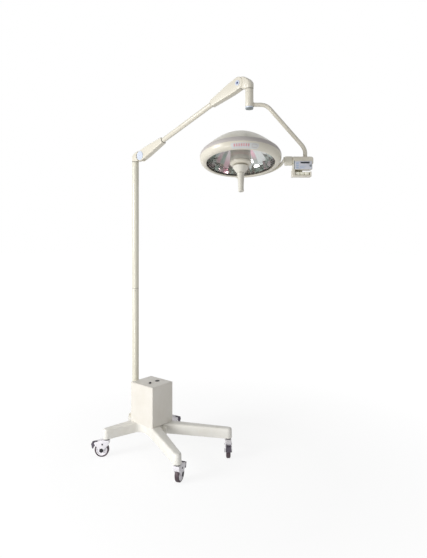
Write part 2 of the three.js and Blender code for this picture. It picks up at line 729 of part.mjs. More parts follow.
function hubCap() {
  return revolve([
    [0, -HUB_LENGTH], [POLE_R - 2, -HUB_LENGTH], [POLE_R, -HUB_LENGTH + 2], [POLE_R, -HUB_LENGTH + 16 - GAP],
    [POLE_R - 3 - GAP, -HUB_LENGTH + 16 - GAP], [POLE_R - 3 - GAP, -HUB_LENGTH + 24], [0, -HUB_LENGTH + 24],
  ]);
}

// The bent tube: level out of the hub, down at a slope, then upright into the control box.
function yokePath() {
  const level = -YOKE_EXIT;
  const corner1 = new THREE.Vector3(104, 0, level);
  const corner2 = new THREE.Vector3(YOKE_REACH, 0, level - 270);
  const start = new THREE.Vector3(0, 0, level);
  const end = new THREE.Vector3(YOKE_REACH, 0, -GIMBAL_DROP + 16);
  const slope = corner2.clone().sub(corner1).normalize();
  const bend = 38;
  const path = new THREE.CurvePath();
  const before1 = corner1.clone().add(new THREE.Vector3(-bend, 0, 0));
  const after1 = corner1.clone().addScaledVector(slope, bend);
  const before2 = corner2.clone().addScaledVector(slope, -bend);
  const after2 = corner2.clone().add(new THREE.Vector3(0, 0, -bend * 0.7));
  path.add(new THREE.LineCurve3(start, before1));
  path.add(new THREE.QuadraticBezierCurve3(before1, corner1, after1));
  path.add(new THREE.LineCurve3(after1, before2));
  path.add(new THREE.QuadraticBezierCurve3(before2, corner2, after2));
  path.add(new THREE.LineCurve3(after2, end));
  return path;
}

function yokeTube() {
  const tube = tubeAlong(yokePath(), YOKE_TUBE_R, 0, 26, 14);
  return cut(tube, cylinder(POLE_R + GAP, -YOKE_EXIT - 40, -YOKE_EXIT + 40, 24));
}

// Control box, drawn from the front: a beam with a round far end over a deeper panel housing.
const BOX_FRONT = -38;
const BOX_BACK = 32;
const BEAM_TOP = 15; // heights from the gimbal axis
const BEAM_LOW = -28;
const HOUSING_LOW = -64;

function controlBoxOutline() {
  const shape = new THREE.Shape();
  shape.moveTo(BOX_U + 3, HOUSING_LOW);
  shape.lineTo(BOX_END - 6, HOUSING_LOW);
  shape.lineTo(BOX_END - 6, BEAM_LOW);
  shape.quadraticCurveTo(BOX_END, BEAM_LOW, BOX_END, BEAM_LOW + 10);
  shape.lineTo(BOX_END, BEAM_TOP - 14);
  shape.quadraticCurveTo(BOX_END, BEAM_TOP, BOX_END - 14, BEAM_TOP);
  shape.lineTo(BOX_U, BEAM_TOP);
  shape.lineTo(BOX_U, BEAM_LOW);
  shape.lineTo(BOX_U + 3, BEAM_LOW);
  shape.closePath();
  return shape;
}

const GIMBAL_SHAFT_R = 8;

function controlBox() {
  const body = crossPrism(controlBoxOutline(), BOX_FRONT, BOX_BACK, 3, 1, 4);
  const inside = block(BOX_U + 10, BOX_END - 14, BOX_FRONT + 8, BOX_BACK - 4, HOUSING_LOW + 5, -13);
  const front = block(BOX_U + 14, BOX_END - 15, BOX_FRONT - 5, BOX_FRONT + 12, HOUSING_LOW + 9, -14.5);
  const tubeHole = cylinder(YOKE_TUBE_R + GAP, -2, 30, 14).translate(YOKE_REACH, 0, 0);
  const shaftHole = cylinder(GIMBAL_SHAFT_R + RUN, BOX_U - 5, BOX_U + 46, 14).rotateY(Math.PI / 2);
  return cut(body, inside, front, tubeHole, shaftHole);
}

const PANEL = { x0: BOX_U + 9, x1: BOX_END - 9, z0: -63, z1: -13 };

function controlPanel() {
  const plate = crossPrism(
    rectangle(PANEL.x0, PANEL.z0, PANEL.x1, PANEL.z1, 3), BOX_FRONT - 3 - GAP, BOX_FRONT - GAP, 0, 0, 2,
  );
  const window = block(DISPLAY.x0, DISPLAY.x1, BOX_FRONT - 10, BOX_FRONT + 10, DISPLAY.z0, DISPLAY.z1);
  const knobHole = crossCylinder(2.5 + GAP, BOX_FRONT - 10, BOX_FRONT + 10, KNOB_AT.x, KNOB_AT.y, 10);
  return cut(plate, window, knobHole);
}

const DISPLAY = { x0: 306, x1: 361, z0: -28, z1: -17 };
const KNOB_AT = new THREE.Vector2(365, -42);

function displayWindow() {
  const inset = GAP;
  return crossPrism(
    rectangle(DISPLAY.x0 + inset, DISPLAY.z0 + inset, DISPLAY.x1 - inset, DISPLAY.z1 - inset, 1),
    BOX_FRONT - 2.6, BOX_FRONT + 2, 0, 0, 2,
  );
}

// A push button: a domed cap on a thin stalk through the panel.
function powerButton() {
  const cap = revolve([[0, 0], [5.5, 0], [5.5, 3], [4, 4.5], [0, 5]], 12);
  const stalk = cylinder(2.5, -9, 0.5, 10);
  return union(cap, stalk).rotateX(Math.PI / 2);
}

// Key tray under the box: a channel hung from its near wall, with an upturned far end.
const TRAY = { x0: 257, x1: 374, top: HOUSING_LOW - GAP, low: -108, front: -36, back: 10 };
const KEY_COUNT = 3;
const KEY_PITCH = 28;
const KEY_START = TRAY.x0 + 21;
const KEY_LOW = TRAY.low + 13;

function keyTray() {
  const nearWall = block(TRAY.x0, TRAY.x0 + 18, TRAY.front, TRAY.back, TRAY.low, TRAY.top, 2);
  const floor = block(TRAY.x0, TRAY.x1, TRAY.front, TRAY.back, TRAY.low, TRAY.low + 11, 2);
  const farWall = block(TRAY.x1 - 9, TRAY.x1, TRAY.front, TRAY.back, TRAY.low, TRAY.low + 33, 2);
  const backWall = block(TRAY.x0 + 4, TRAY.x1 - 2, TRAY.back - 8, TRAY.back, TRAY.low, TRAY.low + 31);
  const backRise = block(TRAY.x0 + 4, TRAY.x0 + 68, TRAY.back - 8, TRAY.back, TRAY.low, TRAY.top);
  const guides = [...Array(KEY_COUNT).keys()].map((i) => {
    const x = KEY_START + 13 + KEY_PITCH * i;
    return crossCylinder(3 + RUN, TRAY.back - 20, TRAY.back + 10, x, KEY_LOW + 9, 8);
  });
  return cut(union(nearWall, floor, farWall, backWall, backRise), ...guides);
}

function trayKey(index) {
  const x0 = KEY_START + KEY_PITCH * index;
  const face = rectangle(x0, KEY_LOW, x0 + 26, KEY_LOW + 18, 2);
  const cap = crossPrism(face, TRAY.front + 6, TRAY.back - 12, 1.5, 1, 1);
  const stalk = crossCylinder(3, TRAY.back - 13, TRAY.back - 2, x0 + 13, KEY_LOW + 9, 8);
  return union(cap, stalk);
}

function yoke() {
  const keys = ["dim", "bright", "power"].map((name, i) => mesh(`key_${name}`, trayKey(i), KEY));
  const box = groupAt(0, 0, -GIMBAL_DROP,
    mesh("control_box", controlBox(), CREAM),
    mesh("control_panel", controlPanel(), PANEL_BLUE),
    mesh("display_window", displayWindow(), BLACK),
    groupAt(KNOB_AT.x, BOX_FRONT - 3 - 2.5, KNOB_AT.y, mesh("panel_button", powerButton(), DARK_CAP)),
    mesh("key_tray", keyTray(), CREAM),
    ...keys,
  );
  const group = new THREE.Group();
  group.add(
    mesh("yoke_hub", yokeHub(), CREAM),
    mesh("hub_cap", hubCap(), DARK_CAP),
    mesh("yoke_tube", yokeTube(), CREAM),
    box,
  );
  return group;
}

// ---- gimbal -------------------------------------------------------------------------------

// Local frame: the head's centre is the origin, +X runs to the control box, and Z is the
// lamp's axis, so the bar is flat in this frame and tilts with it.
const BAR_HALF = 13;
const BAR_THICK = 8;
const BLOCK_NEAR = BAR_R + BAR_THICK / 2 + GAP; // gimbal block, between the bar and the control box
const BLOCK_FAR = BOX_U - HEAD_U - GAP;
const TILT_PIN_R = 6;

function gimbalBlock() {
  const body = crossPrism(rectangle(BLOCK_NEAR, -30, BLOCK_FAR, 15, 4), -22, 22, 3, 1, 2);
  const shaft = cylinder(GIMBAL_SHAFT_R, BLOCK_FAR - 4, BLOCK_FAR + 42, 14).rotateY(Math.PI / 2);
  return union(body, shaft);
}

// A quarter-circle flat bar from the gimbal block to the pivot behind the head.
function halfYoke() {
  const inner = BAR_R - BAR_THICK / 2;
  const outer = BAR_R + BAR_THICK / 2;
  const plan = new THREE.Shape();
  plan.absarc(0, 0, outer, -0.06, Math.PI / 2 + 0.05);
  plan.absarc(0, 0, inner, Math.PI / 2 + 0.05, -0.06, true);
  plan.closePath();
  const bar = prism(plan, -BAR_HALF, BAR_HALF, 2, 1, 12);
  const endBoss = crossCylinder(17, BAR_R - BAR_THICK / 2, BAR_R + 12, 0, 0, 20);
  const pin = crossCylinder(TILT_PIN_R, HEAD_R - 14, BAR_R, 0, 0, 12);
  return union(bar, endBoss, pin);
}

// ---- head ---------------------------------------------------------------------------------

// Local frame as the gimbal's: lathe profiles are about the lamp's axis.
function domeShell() {
  const outer = new THREE.SplineCurve([
    [238, BAND_TOP + GAP], [222, BAND_TOP + 16], [190, BAND_TOP + 45], [146, BAND_TOP + 80],
    [96, BAND_TOP + 108], [48, DOME_TOP - 4], [0, DOME_TOP],
  ].map(([r, z]) => new THREE.Vector2(r, z))).getPoints(6);
  outer[outer.length - 1].x = 0;
  const wall = 3;
  const inner = outer.map((p, i) => {
    const before = outer[Math.max(i - 1, 0)];
    const after = outer[Math.min(i + 1, outer.length - 1)];
    const along = after.clone().sub(before).normalize();
    return new THREE.Vector2(Math.max(p.x - along.y * wall, 0), p.y + along.x * wall);
  });
  inner[0].y = outer[0].y;
  inner[inner.length - 1].x = 0;
  const profile = [...outer, ...inner.reverse()];
  return revolve(profile.map((p) => [p.x, p.y]), HEAD_SIDES);
}

function rimBand() {
  const profile = [
    [HEAD_R - 4, RIM_Z + GAP], [HEAD_R, RIM_Z + GAP], [HEAD_R, RIM_Z + 8], [HEAD_R - 3, RIM_Z + 18],
    [HEAD_R - 10, BAND_TOP], [HEAD_R - 26, BAND_TOP], [HEAD_R - 26, BAND_TOP - 3], [HEAD_R - 14, BAND_TOP - 3],
  ];
  return revolve(profile, HEAD_SIDES);
}

// The bezel curves in to the mouth and carries the pivot lug at the far side.
function bezelRing() {
  const outer = new THREE.QuadraticBezierCurve(
    new THREE.Vector2(HEAD_R, RIM_Z),
    new THREE.Vector2(HEAD_R - 3, BEZEL_LOW + 6),
    new THREE.Vector2(222, BEZEL_LOW),
  ).getPoints(4);
  const profile = [
    ...outer.map((p) => [p.x, p.y]),
    [MOUTH_R + 4, BEZEL_LOW], [MOUTH_R, BEZEL_LOW + 3], [MOUTH_R, BEZEL_LOW + 6], [MOUTH_R + 7, BEZEL_LOW + 6],
    [MOUTH_R + 7, BEZEL_LOW + 9], [HEAD_R - 24, BEZEL_LOW + 9], [HEAD_R - 5, RIM_Z - 8], [HEAD_R - 5, RIM_Z],
  ];
  const lug = crossCylinder(15, HEAD_R - 24, HEAD_R + 6, 0, 0, 16);
  const lugTop = block(-40, 40, 200, 300, RIM_Z, 60);
  const pinHole = crossCylinder(TILT_PIN_R + RUN, HEAD_R - 18, HEAD_R + 20, 0, 0, 12);
  return cut(union(revolve(profile, HEAD_SIDES), lug), lugTop, pinHole);
}

const NECK_R = 66;

// One-piece mirror: flat vertical facets that narrow from the mouth to the neck.
function reflector() {
  const curve = new THREE.EllipseCurve(0, -20, 206, 170, 0.05, 1.24).getPoints(5);
  const wall = 2.5;
  const outer = curve.map((p) => [p.x + wall, p.y + wall * 0.4]);
  const inner = curve.map((p) => [p.x, p.y]);
  const top = inner[inner.length - 1];
  const flange = [[59, top[1] + 1], [59, top[1] + 3.5]];
  return revolve([...inner, ...flange, ...outer.reverse()], FACETS);
}

function coverGlass() {
  return ring(MOUTH_R + 6, NECK_R + 1, BEZEL_LOW + 9 + GAP, BEZEL_LOW + 12.5, HEAD_SIDES);
}

// The lower dish under the lamp closes the neck and guides the focusing sleeve.
function lampDish() {
  return revolve([
    [14 + RUN, -36], [30, -38], [52, -36], [63, -29], [66, -22], [66, -16.5], [60, -14], [20, -14],
    [20, -4], [14 + RUN, -4],
  ], 24);
}

function heatFilter() {
  return ring(62, 59, -13.7, 141, 24);
}

// Lamp carriage: socket, ceramic base and bulb in one stem, which the focusing screw moves.
function bulbCarriage() {
  return revolve([
    [0, -30], [9.5, -30], [9.5, 4], [13, 4], [13, 18], [8, 20], [8, 30], [6.5, 32], [7, 52], [3, 58], [0, 59],
  ], 12);
}

// Focusing knob: the cup under the dish, with a threaded sleeve that runs up to the carriage.
function focusCup() {
  return revolve([
    [0, -176], [9, -176], [12, -172], [12, -86], [22, -86], [30, -78], [44, -58], [48, -50],
    [48, -46], [42, -43], [14, -41], [14, -6], [10, -6], [10, -40], [0, -40],
  ], 24);
}

// The removable sterile handle: a tapered grip over a blind bore, with a small end hole.
function sterileHandle() {
  return revolve([
    [6, -206], [14, -206], [17, -202], [17.5, -196], [16, -186], [17, -160], [20, -120], [22, -98], [23.5, -91],
    [21, -87], [12 + RUN, -86.5], [12 + RUN, -180], [6, -190],
  ], 24);
}

function headGroup() {
  const focus = mesh("focus_cup", focusCup(), HANDLE);
  const group = new THREE.Group();
  group.add(
    mesh("dome_shell", domeShell(), CREAM),
    mesh("rim_band", rimBand(), GREY_BAND),
    mesh("bezel_ring", bezelRing(), CREAM),
    mesh("reflector", reflector(), MIRROR),
    mesh("cover_glass", coverGlass(), CLEAR),
    mesh("lamp_dish", lampDish(), CREAM),
    mesh("heat_filter", heatFilter(), FILTER),
    mesh("bulb_carriage", bulbCarriage(), STEEL),
    focus,
    mesh("sterile_handle", sterileHandle(), HANDLE),
    mesh("gimbal_block", gimbalBlock(), CREAM),
    mesh("half_yoke", halfYoke(), CREAM),
  );
  group.rotation.x = -HEAD_TILT;
  return group;
}

// ---- assembly -----------------------------------------------------------------------------

function upperEnd() {
  const hubTop = -ELBOW_DROP.upper;
  const turned = groupAt(ARM_HINGE_X, 0, hubTop, yoke(), groupAt(HEAD_U, 0, -GIMBAL_DROP, headGroup()));
  turned.rotation.z = YOKE_TURN;
  const hingeX = ARM_HINGE_X + ARM_LENGTH * Math.cos(ARM_RISE);
  const hingeZ = ARM_HINGE_Z + ARM_LENGTH * Math.sin(ARM_RISE);
  return groupAt(hingeX, 0, hingeZ, mesh("upper_elbow", elbow(ELBOW_DROP.upper), CREAM), turned);
}

const light = groupAt(POLE_X, 0, 0,
  mesh("base_casting", baseCasting(), CAST_CREAM),
  ...casters(),
  batteryBox(),
  mesh("pole_socket", poleSocket(), CREAM),
  mesh("pole_lower", poleLower(), CREAM),
  mesh("pole_upper", poleUpper(), CREAM),
  springArm(),
  upperEnd(),
);

const root = new THREE.Group();
root.add(light);

export default root;
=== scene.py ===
# %% [markdown]
# # A mobile operating light
# The light stands on four casters. A pole rises from its base, a spring arm reaches out from
# the pole, and a bent tube carries the lamp head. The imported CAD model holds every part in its
# real place, so this lesson only dresses it: each CAD solid that shows gets a smooth surface
# of the same size, and each finish is made from shader nodes.

import json
import math

import bmesh
import bpy
import numpy as np
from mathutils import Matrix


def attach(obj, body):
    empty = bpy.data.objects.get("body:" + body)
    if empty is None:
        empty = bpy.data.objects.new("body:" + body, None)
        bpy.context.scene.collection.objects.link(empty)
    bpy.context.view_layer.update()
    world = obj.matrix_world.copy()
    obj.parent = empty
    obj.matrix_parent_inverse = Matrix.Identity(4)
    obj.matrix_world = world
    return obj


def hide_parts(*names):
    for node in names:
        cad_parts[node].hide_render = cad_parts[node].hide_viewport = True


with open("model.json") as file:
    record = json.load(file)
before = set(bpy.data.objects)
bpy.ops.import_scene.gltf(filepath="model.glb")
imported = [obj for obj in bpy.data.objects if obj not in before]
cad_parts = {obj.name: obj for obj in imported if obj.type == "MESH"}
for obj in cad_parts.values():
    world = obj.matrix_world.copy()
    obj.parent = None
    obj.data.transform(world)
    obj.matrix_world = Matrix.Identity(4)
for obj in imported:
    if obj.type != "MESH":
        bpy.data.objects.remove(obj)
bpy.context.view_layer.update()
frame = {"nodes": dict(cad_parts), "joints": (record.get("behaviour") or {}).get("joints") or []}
NODES = frame["nodes"]

# %% [markdown]
# ## Places
# A piece is easiest to draw in millimetres in its own axes: the arm along its own X, the lamp
# head about its own Z. A place is an origin and three axes, and the joints of the packed
# record give both, so nothing is measured twice.

# %% Places read from the joints
JOINTS = {joint["name"]: joint for joint in frame["joints"]}
MM = 0.001


def unit(vector):
    """The vector divided by its length."""
    return vector / np.linalg.norm(vector)


def joint_at(name):
    """A joint's point in millimetres."""
    return np.array(JOINTS[name]["pos_m"], float) / MM


def place(origin, x, z):
    """An origin, and the rows X, Y, Z. Z is kept, X is squared to it and Y is Z cross X."""
    z = unit(np.array(z, float))
    x = np.array(x, float)
    x = unit(x - z * (x @ z))
    return np.array(origin, float), np.array([x, np.cross(z, x), z])


def moved(where, offset):
    """The same axes, with the origin carried along them by an offset."""
    origin, rows = where
    return origin + np.array(offset, float) @ rows, rows


def across(where):
    """Axes for a slab that lies across Y: its outline is in X and Z, its height runs to -Y."""
    origin, rows = where
    return origin, np.array([rows[0], rows[2], -rows[1]])


UP = (0, 0, 1)
LOW_HINGE = joint_at("arm_lift")
TOP_HINGE = joint_at("head_level")
HUB = joint_at("yoke_swivel")
GIMBAL = joint_at("gimbal_roll")
REACH = np.array(JOINTS["gimbal_roll"]["axis"], float)
TILT = np.array(JOINTS["head_tilt"]["axis"], float)

POLE = place(joint_at("arm_swivel") * (1, 1, 0), (1, 0, 0), UP)
ARM_LENGTH = float(np.linalg.norm(TOP_HINGE - LOW_HINGE))
ARM = place(LOW_HINGE, TOP_HINGE - LOW_HINGE, np.cross(TOP_HINGE - LOW_HINGE, (0, 1, 0)))
ARM_BACK = place(TOP_HINGE, -ARM[1][0], -ARM[1][2])
LOW_ELBOW = place(LOW_HINGE, (-1, 0, 0), UP)
TOP_ELBOW = place(TOP_HINGE, (1, 0, 0), UP)
YOKE = place(HUB, REACH, UP)
CONTROL = place((HUB[0], HUB[1], GIMBAL[2]), REACH, UP)
HEAD = place(GIMBAL, REACH, np.cross(REACH, TILT))
CORNERS = ("front_left", "rear_left", "rear_right", "front_right")


def caster_place(corner):
    """On the floor under a caster's stem, with the wheel towards -X."""
    stem, wheel = joint_at("caster_swivel_" + corner), joint_at("wheel_roll_" + corner)
    return place(stem * (1, 1, 0), (stem - wheel) * (1, 1, 0), UP)


CASTERS = {corner: caster_place(corner) for corner in CORNERS}
POLE_TOP = float(joint_at("arm_swivel")[2])
print("arm", round(ARM_LENGTH, 1), "mm, pole top", round(POLE_TOP, 1), "mm")

# %% [markdown]
# ## Surfaces
# Every new piece is a skin over rings of points. A turned part carries one profile round an
# axis, a slab stacks copies of one outline, and a tube carries a circle along a path. Real
# edges are never sharp, so corners are rounded on the profile, before the skin is made.

# %% Rounding a profile or a path
def soften(points, radius, steps=4, loop=True):
    """Rounds each corner with an arc of the given radius, or of the largest that fits.
    The arc is the rational curve (a(1-t)^2 + 2wpt(1-t) + bt^2) / ((1-t)^2 + 2wt(1-t) + t^2)."""
    p = np.array(points, float)
    radii = np.broadcast_to(np.array(radius, float), len(p))
    before, after = np.roll(p, 1, 0) - p, np.roll(p, -1, 0) - p
    back, on = np.linalg.norm(before, axis=1), np.linalg.norm(after, axis=1)
    u, v = before / back[:, None], after / on[:, None]
    half = np.arccos(np.clip((u * v).sum(1), -1, 1)) / 2
    reach = radii / np.maximum(np.tan(half), 1e-6)
    reach = np.minimum(reach, 0.49 * np.minimum(back, on))
    straight = half > math.pi / 2 - 1e-3
    reach[straight] = 0
    if not loop:
        reach[[0, -1]] = 0
    a, b = p + u * reach[:, None], p + v * reach[:, None]
    t = np.linspace(0, 1, steps + 1)[None, :, None]
    w = np.sin(half)[:, None, None]
    top = a[:, None] * (1 - t) ** 2 + 2 * w * p[:, None] * t * (1 - t) + b[:, None] * t**2
    arcs = top / ((1 - t) ** 2 + 2 * w * t * (1 - t) + t**2)
    return without_repeats(arcs.reshape(-1, p.shape[1]), loop)


def without_repeats(points, loop=True, apart=1e-5):
    """Drops a point that lies on the one before it, or nearer to it than a distance."""
    step = np.linalg.norm(points - np.roll(points, 1, 0), axis=1)
    keep = step > apart
    if not loop:
        keep[0] = True
    return points[keep]


def oblong(x0, y0, x1, y1, corner, steps=5):
    """A rectangle with round corners, counter-clockwise."""
    return soften([(x0, y0), (x1, y0), (x1, y1), (x0, y1)], corner, steps)


def arc(radius, start, end, steps, centre=(0, 0)):
    """Points on a circle between two angles in degrees."""
    a = np.radians(np.linspace(start, end, steps + 1))
    return np.stack([centre[0] + radius * np.cos(a), centre[1] + radius * np.sin(a)], 1)


def curve3(a, b, c, steps=12):
    """A quadratic curve from a to c that leans towards b."""
    t = np.linspace(0, 1, steps + 1)[:, None]
    a, b, c = (np.array(q, float) for q in (a, b, c))
    return a * (1 - t) ** 2 + 2 * b * t * (1 - t) + c * t**2


def through(points, steps=8):
    """A smooth line through points: between p1 and p2 the Catmull-Rom blend of four."""
    p = np.array(points, float)
    p = np.vstack([2 * p[0] - p[1], p, 2 * p[-1] - p[-2]])
    t = np.linspace(0, 1, steps, endpoint=False)[None, :, None]
    p0, p1, p2, p3 = (p[i : len(p) - 3 + i][:, None] for i in range(4))
    line = 0.5 * (
        2 * p1 + (p2 - p0) * t + (2 * p0 - 5 * p1 + 4 * p2 - p3) * t**2
        + (3 * p1 - p0 - 3 * p2 + p3) * t**3
    )
    return np.vstack([line.reshape(-1, p.shape[1]), p[-2:-1]])


print("a softened square has", len(oblong(0, 0, 40, 40, 8)), "points")

# %% Skins over rings of points
def skin(grid, loop_rings=False, caps=True):
    """Faces over a grid of rings: four neighbours make a face, and the ends are closed."""
    rings, count = grid.shape[:2]
    index = np.arange(rings * count).reshape(rings, count)
    ahead = np.roll(index, -1, 0) if loop_rings else index[1:]
    here = index if loop_rings else index[:-1]
    quads = np.stack([here, np.roll(here, -1, 1), np.roll(ahead, -1, 1), ahead], -1)
    faces = quads.reshape(-1, 4).tolist()
    if caps and not loop_rings:
        faces += [index[0][::-1].tolist(), index[-1].tolist()]
    return grid.reshape(-1, 3), faces


def turned(profile, steps=96):
    """Carries (radius, height) points round Z: x = r cos a, y = r sin a. A profile that
    starts and ends on the axis is closed there, and any other is a closed loop."""
    p = np.array(profile, float)
    a = np.linspace(0, 2 * math.pi, steps, endpoint=False)
    r, z = p[:, :1], p[:, 1:]
    grid = np.stack([r * np.cos(a), r * np.sin(a), z + 0 * a], -1)
    return skin(grid, loop_rings=p[0, 0] > 0, caps=False)


def bead(radius, low, high, edge=1.0, steps=48, bottom=None):
    """A turned button or rod end: a cylinder whose rims are rounded."""
    under = edge if bottom is None else bottom
    corners = [(0, low), (radius, low), (radius, high), (0, high)]
    return turned(soften(corners, [0, under, edge, 0], 4, loop=False), steps)


def inset(outline, distance):
    """Moves a counter-clockwise outline inwards: each point goes along the miter of its two
    edges, (n1 + n2) / (1 + n1.n2) times the distance."""
    on = np.roll(outline, -1, 0) - outline
    on = on / np.linalg.norm(on, axis=1)[:, None]
    normal = np.stack([-on[:, 1], on[:, 0]], 1)
    before = np.roll(normal, 1, 0)
    lean = 1 + (normal * before).sum(1)
    return outline + distance * (normal + before) / lean[:, None]


def rims(low, high, low_edge, high_edge, steps=5):
    """Insets and heights of a slab whose lower and upper rims are quarter rounds."""
    a = np.linspace(0, math.pi / 2, steps + 1)
    under = np.stack([low_edge * (1 - np.sin(a)), low + low_edge * (1 - np.cos(a))], 1)
    over = np.stack([high_edge * (1 - np.cos(a)), high - high_edge * (1 - np.sin(a))], 1)
    return without_repeats(np.vstack([under, over]), loop=False)


def slab(outline, levels):
    """Stacks one outline: each level is (inset, height). The first and last are closed."""
    rings = [np.c_[inset(outline, d), np.full(len(outline), z)] for d, z in levels]
    return skin(np.array(rings))


def pipe(path, radius, sides=32, side=(0, 1, 0)):
    """Carries a circle along a path. At each point the circle's two axes are side cross the
    direction, and the direction crossed with that."""
    p = np.array(path, float)
    radii = np.broadcast_to(np.array(radius, float), len(p))[:, None, None]
    go = np.gradient(p, axis=0)
    go = go / np.linalg.norm(go, axis=1)[:, None]
    first = np.cross(np.array(side, float), go)
    first = first / np.linalg.norm(first, axis=1)[:, None]
    second = np.cross(go, first)
    a = np.linspace(0, 2 * math.pi, sides, endpoint=False)[None, :, None]
    return skin(p[:, None] + radii * (first[:, None] * np.cos(a) + second[:, None] * np.sin(a)))


def shifted(shape, offset=(0, 0, 0), turn=None):
    """A shape moved by an offset, after its axes are turned to the rows given."""
    points, faces = shape
    if turn is not None:
        points = points @ np.array(turn, float)
    return points + np.array(offset, float), faces


LIE_X = [(0, 0, -1), (0, 1, 0), (1, 0, 0)]
LIE_Y = [(1, 0, 0), (0, 0, 1), (0, -1, 0)]
FACE_Y = [(1, 0, 0), (0, 0, -1), (0, 1, 0)]
print("a turned bead has", len(bead(10, 0, 20)[1]), "faces")

# %% [markdown]
# A shape becomes a piece when it gets a mesh, a finish and a body to ride on. Holes are cut
# with a Boolean that is applied at once, so no helper is left over. Every piece also says
# which CAD nodes it stands for, so the same solid is never drawn twice.

# %% From shapes to pieces
SHARP = math.radians(32)


def mesh_of(name, shapes, where):
    """One mesh from shapes drawn in a place: doubles are merged and faces turned outwards."""
    origin, rows = where
    points, faces, start = [], [], 0
    for shape_points, shape_faces in shapes:
        points.append((origin + shape_points @ rows) * MM)
        faces += [[i + start for i in face] for face in shape_faces]
        start += len(shape_points)
    mesh = bpy.data.meshes.new(name)
    mesh.from_pydata(np.vstack(points).tolist(), [], faces)
    work = bmesh.new()
    work.from_mesh(mesh)
    bmesh.ops.remove_doubles(work, verts=work.verts, dist=2e-7)
    bmesh.ops.recalc_face_normals(work, faces=work.faces)
    work.to_mesh(mesh)
    work.free()
    return mesh


def carved(piece, *tools, keep="DIFFERENCE"):
    """Cuts shapes out of a piece, or keeps only what is common to them."""
    helpers = []
    for name, shape, where in [(n, one, w) for n, shapes, w in tools for one in shapes]:
        helper = bpy.data.objects.new(name, mesh_of(name, [shape], where))
        bpy.context.scene.collection.objects.link(helper)
        cut = piece.modifiers.new("cut", "BOOLEAN")
        cut.operation, cut.solver, cut.object = keep, "EXACT", helper
        helpers.append(helper)
    seen = piece.evaluated_get(bpy.context.evaluated_depsgraph_get())
    mesh = bpy.data.meshes.new_from_object(seen)
    piece.modifiers.clear()
    piece.data = mesh
    for helper in helpers:
        bpy.data.objects.remove(helper)
    return piece


def piece(name, shapes, where, material, body, replaces=(), slot=None, cuts=(), common=(),
          sharp=SHARP):
    """A finished piece: its mesh, its finish, the CAD body it rides on and the CAD nodes it
    stands for. The slot argument is not used."""
    made = bpy.data.objects.new(name, mesh_of(name, shapes, where))
    bpy.context.scene.collection.objects.link(made)
    made.data.materials.append(material)
    if common:
        carved(made, *common, keep="INTERSECT")
    if cuts:
        carved(made, *cuts)
    made.data.shade_smooth()
    made.data.set_sharp_from_angle(angle=sharp)
    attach(made, body)
    if replaces:
        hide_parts(*replaces)
    return made


def dress(material, *names):
    """Gives CAD nodes that stay in view a finish."""
    for name in names:
        NODES[name].data.materials.clear()
        NODES[name].data.materials.append(material)


print("helpers ready")

# %% [markdown]
# ## Finishes
# The whole light is sprayed the same warm off-white, over iron, steel and aluminium. Sprayed
# enamel is never one colour: its tone drifts a little, its gloss varies, and a fine orange
# peel bends its reflections. One recipe with different numbers gives all opaque finishes.

# %% A recipe for opaque finishes
def tone(red, green, blue):
    """A screen colour from 0 to 255 as the linear colour that a shader wants."""
    c = np.array([red, green, blue]) / 255
    low, high = c / 12.92, ((c + 0.055) / 1.055) ** 2.4
    return (*np.where(c <= 0.04045, low, high), 1.0)


def shader(name):
    """An empty material with one Principled shader, and helpers to add and join nodes."""
    material = bpy.data.materials.new(name)
    material.use_nodes = True
    tree = material.node_tree
    tree.nodes.clear()
    surface = tree.nodes.new("ShaderNodeBsdfPrincipled")
    output = tree.nodes.new("ShaderNodeOutputMaterial")
    tree.links.new(surface.outputs[0], output.inputs[0])
    return material, tree, surface


def node(tree, kind, **values):
    """A new node with its named inputs set."""
    made = tree.nodes.new("ShaderNode" + kind)
    for key, value in values.items():
        made.inputs[key.replace("_", " ")].default_value = value
    return made


def noise(tree, vector, scale, detail=3.0, rough=0.5):
    """Fractal noise over a vector."""
    made = node(tree, "TexNoise", Scale=scale, Detail=detail, Roughness=rough)
    tree.links.new(vector, made.inputs["Vector"])
    return made.outputs["Fac"]


def spread(tree, value, low, high, start=0.3, end=0.7):
    """Carries a value between start and end over to low and high."""
    made = node(tree, "MapRange", From_Min=start, From_Max=end, To_Min=low, To_Max=high)
    tree.links.new(value, made.inputs["Value"])
    return made.outputs["Result"]


def blended(tree, factor, first, second):
    """Mixes two colours by a factor."""
    made = tree.nodes.new("ShaderNodeMix")
    made.data_type = "RGBA"
    tree.links.new(factor, made.inputs["Factor"])
    for socket, colour in ((made.inputs[6], first), (made.inputs[7], second)):
        if isinstance(colour, tuple):
            socket.default_value = colour
        else:
            tree.links.new(colour, socket)
    return made.outputs[2]


def finish(name, light, dark, rough, drift=9.0, grain=260.0, bump=0.12, metal=0.0, coat=0.0,
           stretch=(1, 1, 1)):
    """Two tones that drift into each other, a gloss that varies and a fine grain."""
    material, tree, surface = shader(name)
    place_of = tree.nodes.new("ShaderNodeTexCoord").outputs["Object"]
    if stretch != (1, 1, 1):
        stretched = node(tree, "Mapping", Scale=stretch)
        tree.links.new(place_of, stretched.inputs["Vector"])
        place_of = stretched.outputs["Vector"]
    wide = noise(tree, place_of, drift, 5.0, 0.6)
    fine = noise(tree, place_of, grain, 2.0)
    colour = blended(tree, spread(tree, wide, 0, 1), tone(*light), tone(*dark))
    tree.links.new(colour, surface.inputs["Base Color"])
    patches = noise(tree, place_of, drift * 4, 4.0)
    tree.links.new(spread(tree, patches, *rough), surface.inputs["Roughness"])
    relief = node(tree, "Bump", Strength=bump, Distance=0.0004)
    tree.links.new(fine, relief.inputs["Height"])
    tree.links.new(relief.outputs["Normal"], surface.inputs["Normal"])
    surface.inputs["Metallic"].default_value = metal
    surface.inputs["Coat Weight"].default_value = coat
    surface.inputs["Coat Roughness"].default_value = 0.15
    return material


